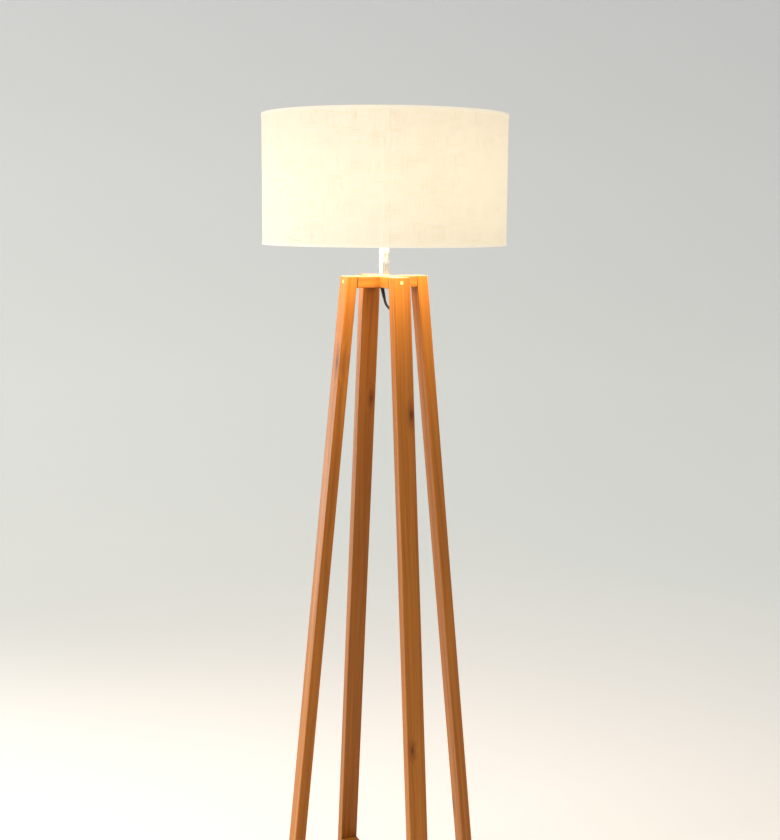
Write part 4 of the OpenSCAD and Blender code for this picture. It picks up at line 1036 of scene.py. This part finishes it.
def phosphor():  # yellow phosphor over each chip, lit, under the dome
    material, tree, shader = startMaterial("ceramicPhosphor", Roughness=0.4)
    place = addNode(tree, "TexCoord")["Object"]
    grain = addNode(tree, "TexNoise", {"Vector": place, "Scale": 1 / (0.556 * mm), "Detail": 1})[0]
    tone = addNode(tree, "ValToRGB", {0: grain}, [(0.3, "#f2d060"), (0.7, "#e0b23c")])[0]
    connect(tree, shader, {"Base Color": tone})
    connect(tree, shader, {"Emission Color": linearColour("#ffe2b0"), "Emission Strength": 4.0})
    return material


packedFinishes = {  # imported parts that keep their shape, and what they are made of
    "head_screws": zincSteel, "foot_screws": zincSteel, "lap_screw": zincSteel, "glide_nails": zincSteel,
    "switch_spring": zincSteel, "head_dowels": plugWood, "foot_dowels": plugWood, "threaded_nipple": brass,
    "holder_insert": steatite, "holder_screw_shell": brass, "holder_contact": brass, "terminal_screws": brass,
    "led_board": boardWhite, "led_chips": phosphor(), "cord_in_stem": cordPiece.data.materials[0],
}
for node, material in packedFinishes.items():
    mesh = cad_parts[node].data
    mesh.materials.clear()
    mesh.materials.append(material)
print("packed parts finished")


studioPlan = {
    "floorRadius": 3.2, "bend": 1.6, "wallTop": 6.0,
    "lift": 0.455,      # how much the sweep glows by itself, as a lit backdrop does
    "farSideShade": 0.84,    # painted shade: the sweep is this much darker on its far side, away from the key light
    "paintAndFalloff": [(0.0, "#f4ebe0"), (1.0, "#c4c4c4"), (0.1, "#f1e9df"), (0.3, "#e2e2dc"), (0.55, "#dcddd8"), (0.75, "#cfcfce")],
    "lights": (         # name, place, width, power, spread in degrees, colour, aim
        ("keyLight", (-3.0, 0.15, 1.1), 1.2, 8.5, 64, "#e4ecff", (0, 0, 0.2)),
        ("rimLight", (-1.9, 2.6, 0.7), 1.1, 5.5, 56, "#ffffff", (0, 0, 0.15)),
        ("shadeLight", (0, 0, 1.3455), 0.42, 4.0, 180, "#ffefd4", (0, 0, 0)),  # the lamplight that leaves the shade downward
        ("fillLight", (-0.2, -2.9, 3.2), 2.2, 9.0, 150, "#ffffff", (0, 0, 0.8)),
    ),
    "worldColour": "#e9eaec", "worldPower": 0.5,
}


def paintedSweep(plan):  # matt painted sweep, its light fall-off painted in: warm white on the floor, going to a soft grey up the wall
    material, tree, shader = startMaterial("mattPaintedSweep", Roughness=0.9, IOR=1.3)
    place = addNode(tree, "TexCoord")["Object"]
    parts = addNode(tree, "SeparateXYZ", {0: place})
    flat = addNode(tree, "VectorMath", {0: place, 1: (1, 1, 0)}, operation="MULTIPLY")[0]
    reach = addNode(tree, "VectorMath", {0: flat}, operation="LENGTH")["Value"]
    # painted fall-off of light: the tone greys with height and distance
    way = addNode(tree, "MapRange", {0: calculate(tree, "ADD", parts[2], reach), 1: 0.0, 2: 9.0, 3: 0.0, 4: 1.0})[0]
    tone = addNode(tree, "ValToRGB", {0: way}, plan["paintAndFalloff"])[0]
    # painted shade, darker towards the far side
    side = addNode(tree, "VectorMath", {0: place, 1: (0.92, -0.39, 0)}, operation="DOT_PRODUCT")["Value"]
    side = addNode(tree, "MapRange", {0: side, 1: -2.2, 2: 2.2, 3: 1.0, 4: plan["farSideShade"]})[0]
    tone = blendColours(tree, 1.0, tone, side, "MULTIPLY")
    grain = addNode(tree, "TexNoise", {"Vector": place, "Scale": 1 / (333 * mm), "Detail": 3})[0]
    gloss = addNode(tree, "MapRange", {0: grain, 1: 0.3, 2: 0.7, 3: 0.85, 4: 0.95})[0]
    connect(tree, shader, {"Base Color": tone, "Roughness": gloss, "Emission Color": tone,
                           "Emission Strength": plan["lift"]})
    return material


def buildStudio(plan):
    # floor disc, quarter bend and wall turned round the lamp's axis
    a = np.linspace(0, math.pi / 2, 17)
    bend = np.stack([plan["floorRadius"] + plan["bend"] * np.sin(a), plan["bend"] * (1 - np.cos(a))], 1)
    profile = np.vstack([[(0, 0), (0.5, 0), (1.5, 0)], bend, [(plan["floorRadius"] + plan["bend"], plan["wallTop"])]]) / mm
    grid = turned(profile, 128)
    mesh = bpy.data.meshes.new("studioSweep")
    rows, cols = grid.shape[:2]
    corner = (np.arange(rows - 1)[:, None] * cols + np.arange(cols - 1)[None, :]).reshape(-1, 1)
    mesh.from_pydata(grid.reshape(-1, 3).tolist(), [], (corner + np.array([[0, 1, cols + 1, cols]])).tolist())
    mesh.polygons.foreach_set("use_smooth", np.ones(len(mesh.polygons), bool))
    sweep = bpy.data.objects.new("studioSweep", mesh)
    sweep.data.materials.append(paintedSweep(plan))
    bpy.context.scene.collection.objects.link(sweep)
    for name, at, size, power, spread, colour, target in plan["lights"]:
        light = bpy.data.objects.new(name, bpy.data.lights.new(name, "AREA"))
        light.data.size, light.data.energy, light.data.color = size, power, linearColour(colour)[:3]
        light.data.shape, light.data.spread = "DISK", math.radians(spread)
        light.rotation_euler = (Vector(at) - Vector(target)).to_track_quat("Z", "Y").to_euler()
        light.location = at
        light.visible_camera = False
        bpy.context.scene.collection.objects.link(light)
    world = bpy.data.worlds.new("studioAir")
    world.use_nodes = True
    backdrop = world.node_tree.nodes["Background"]
    connect(world.node_tree, backdrop, {"Color": linearColour(plan["worldColour"]), "Strength": plan["worldPower"]})
    bpy.context.scene.world = world


buildStudio(studioPlan)
print("studio lit")
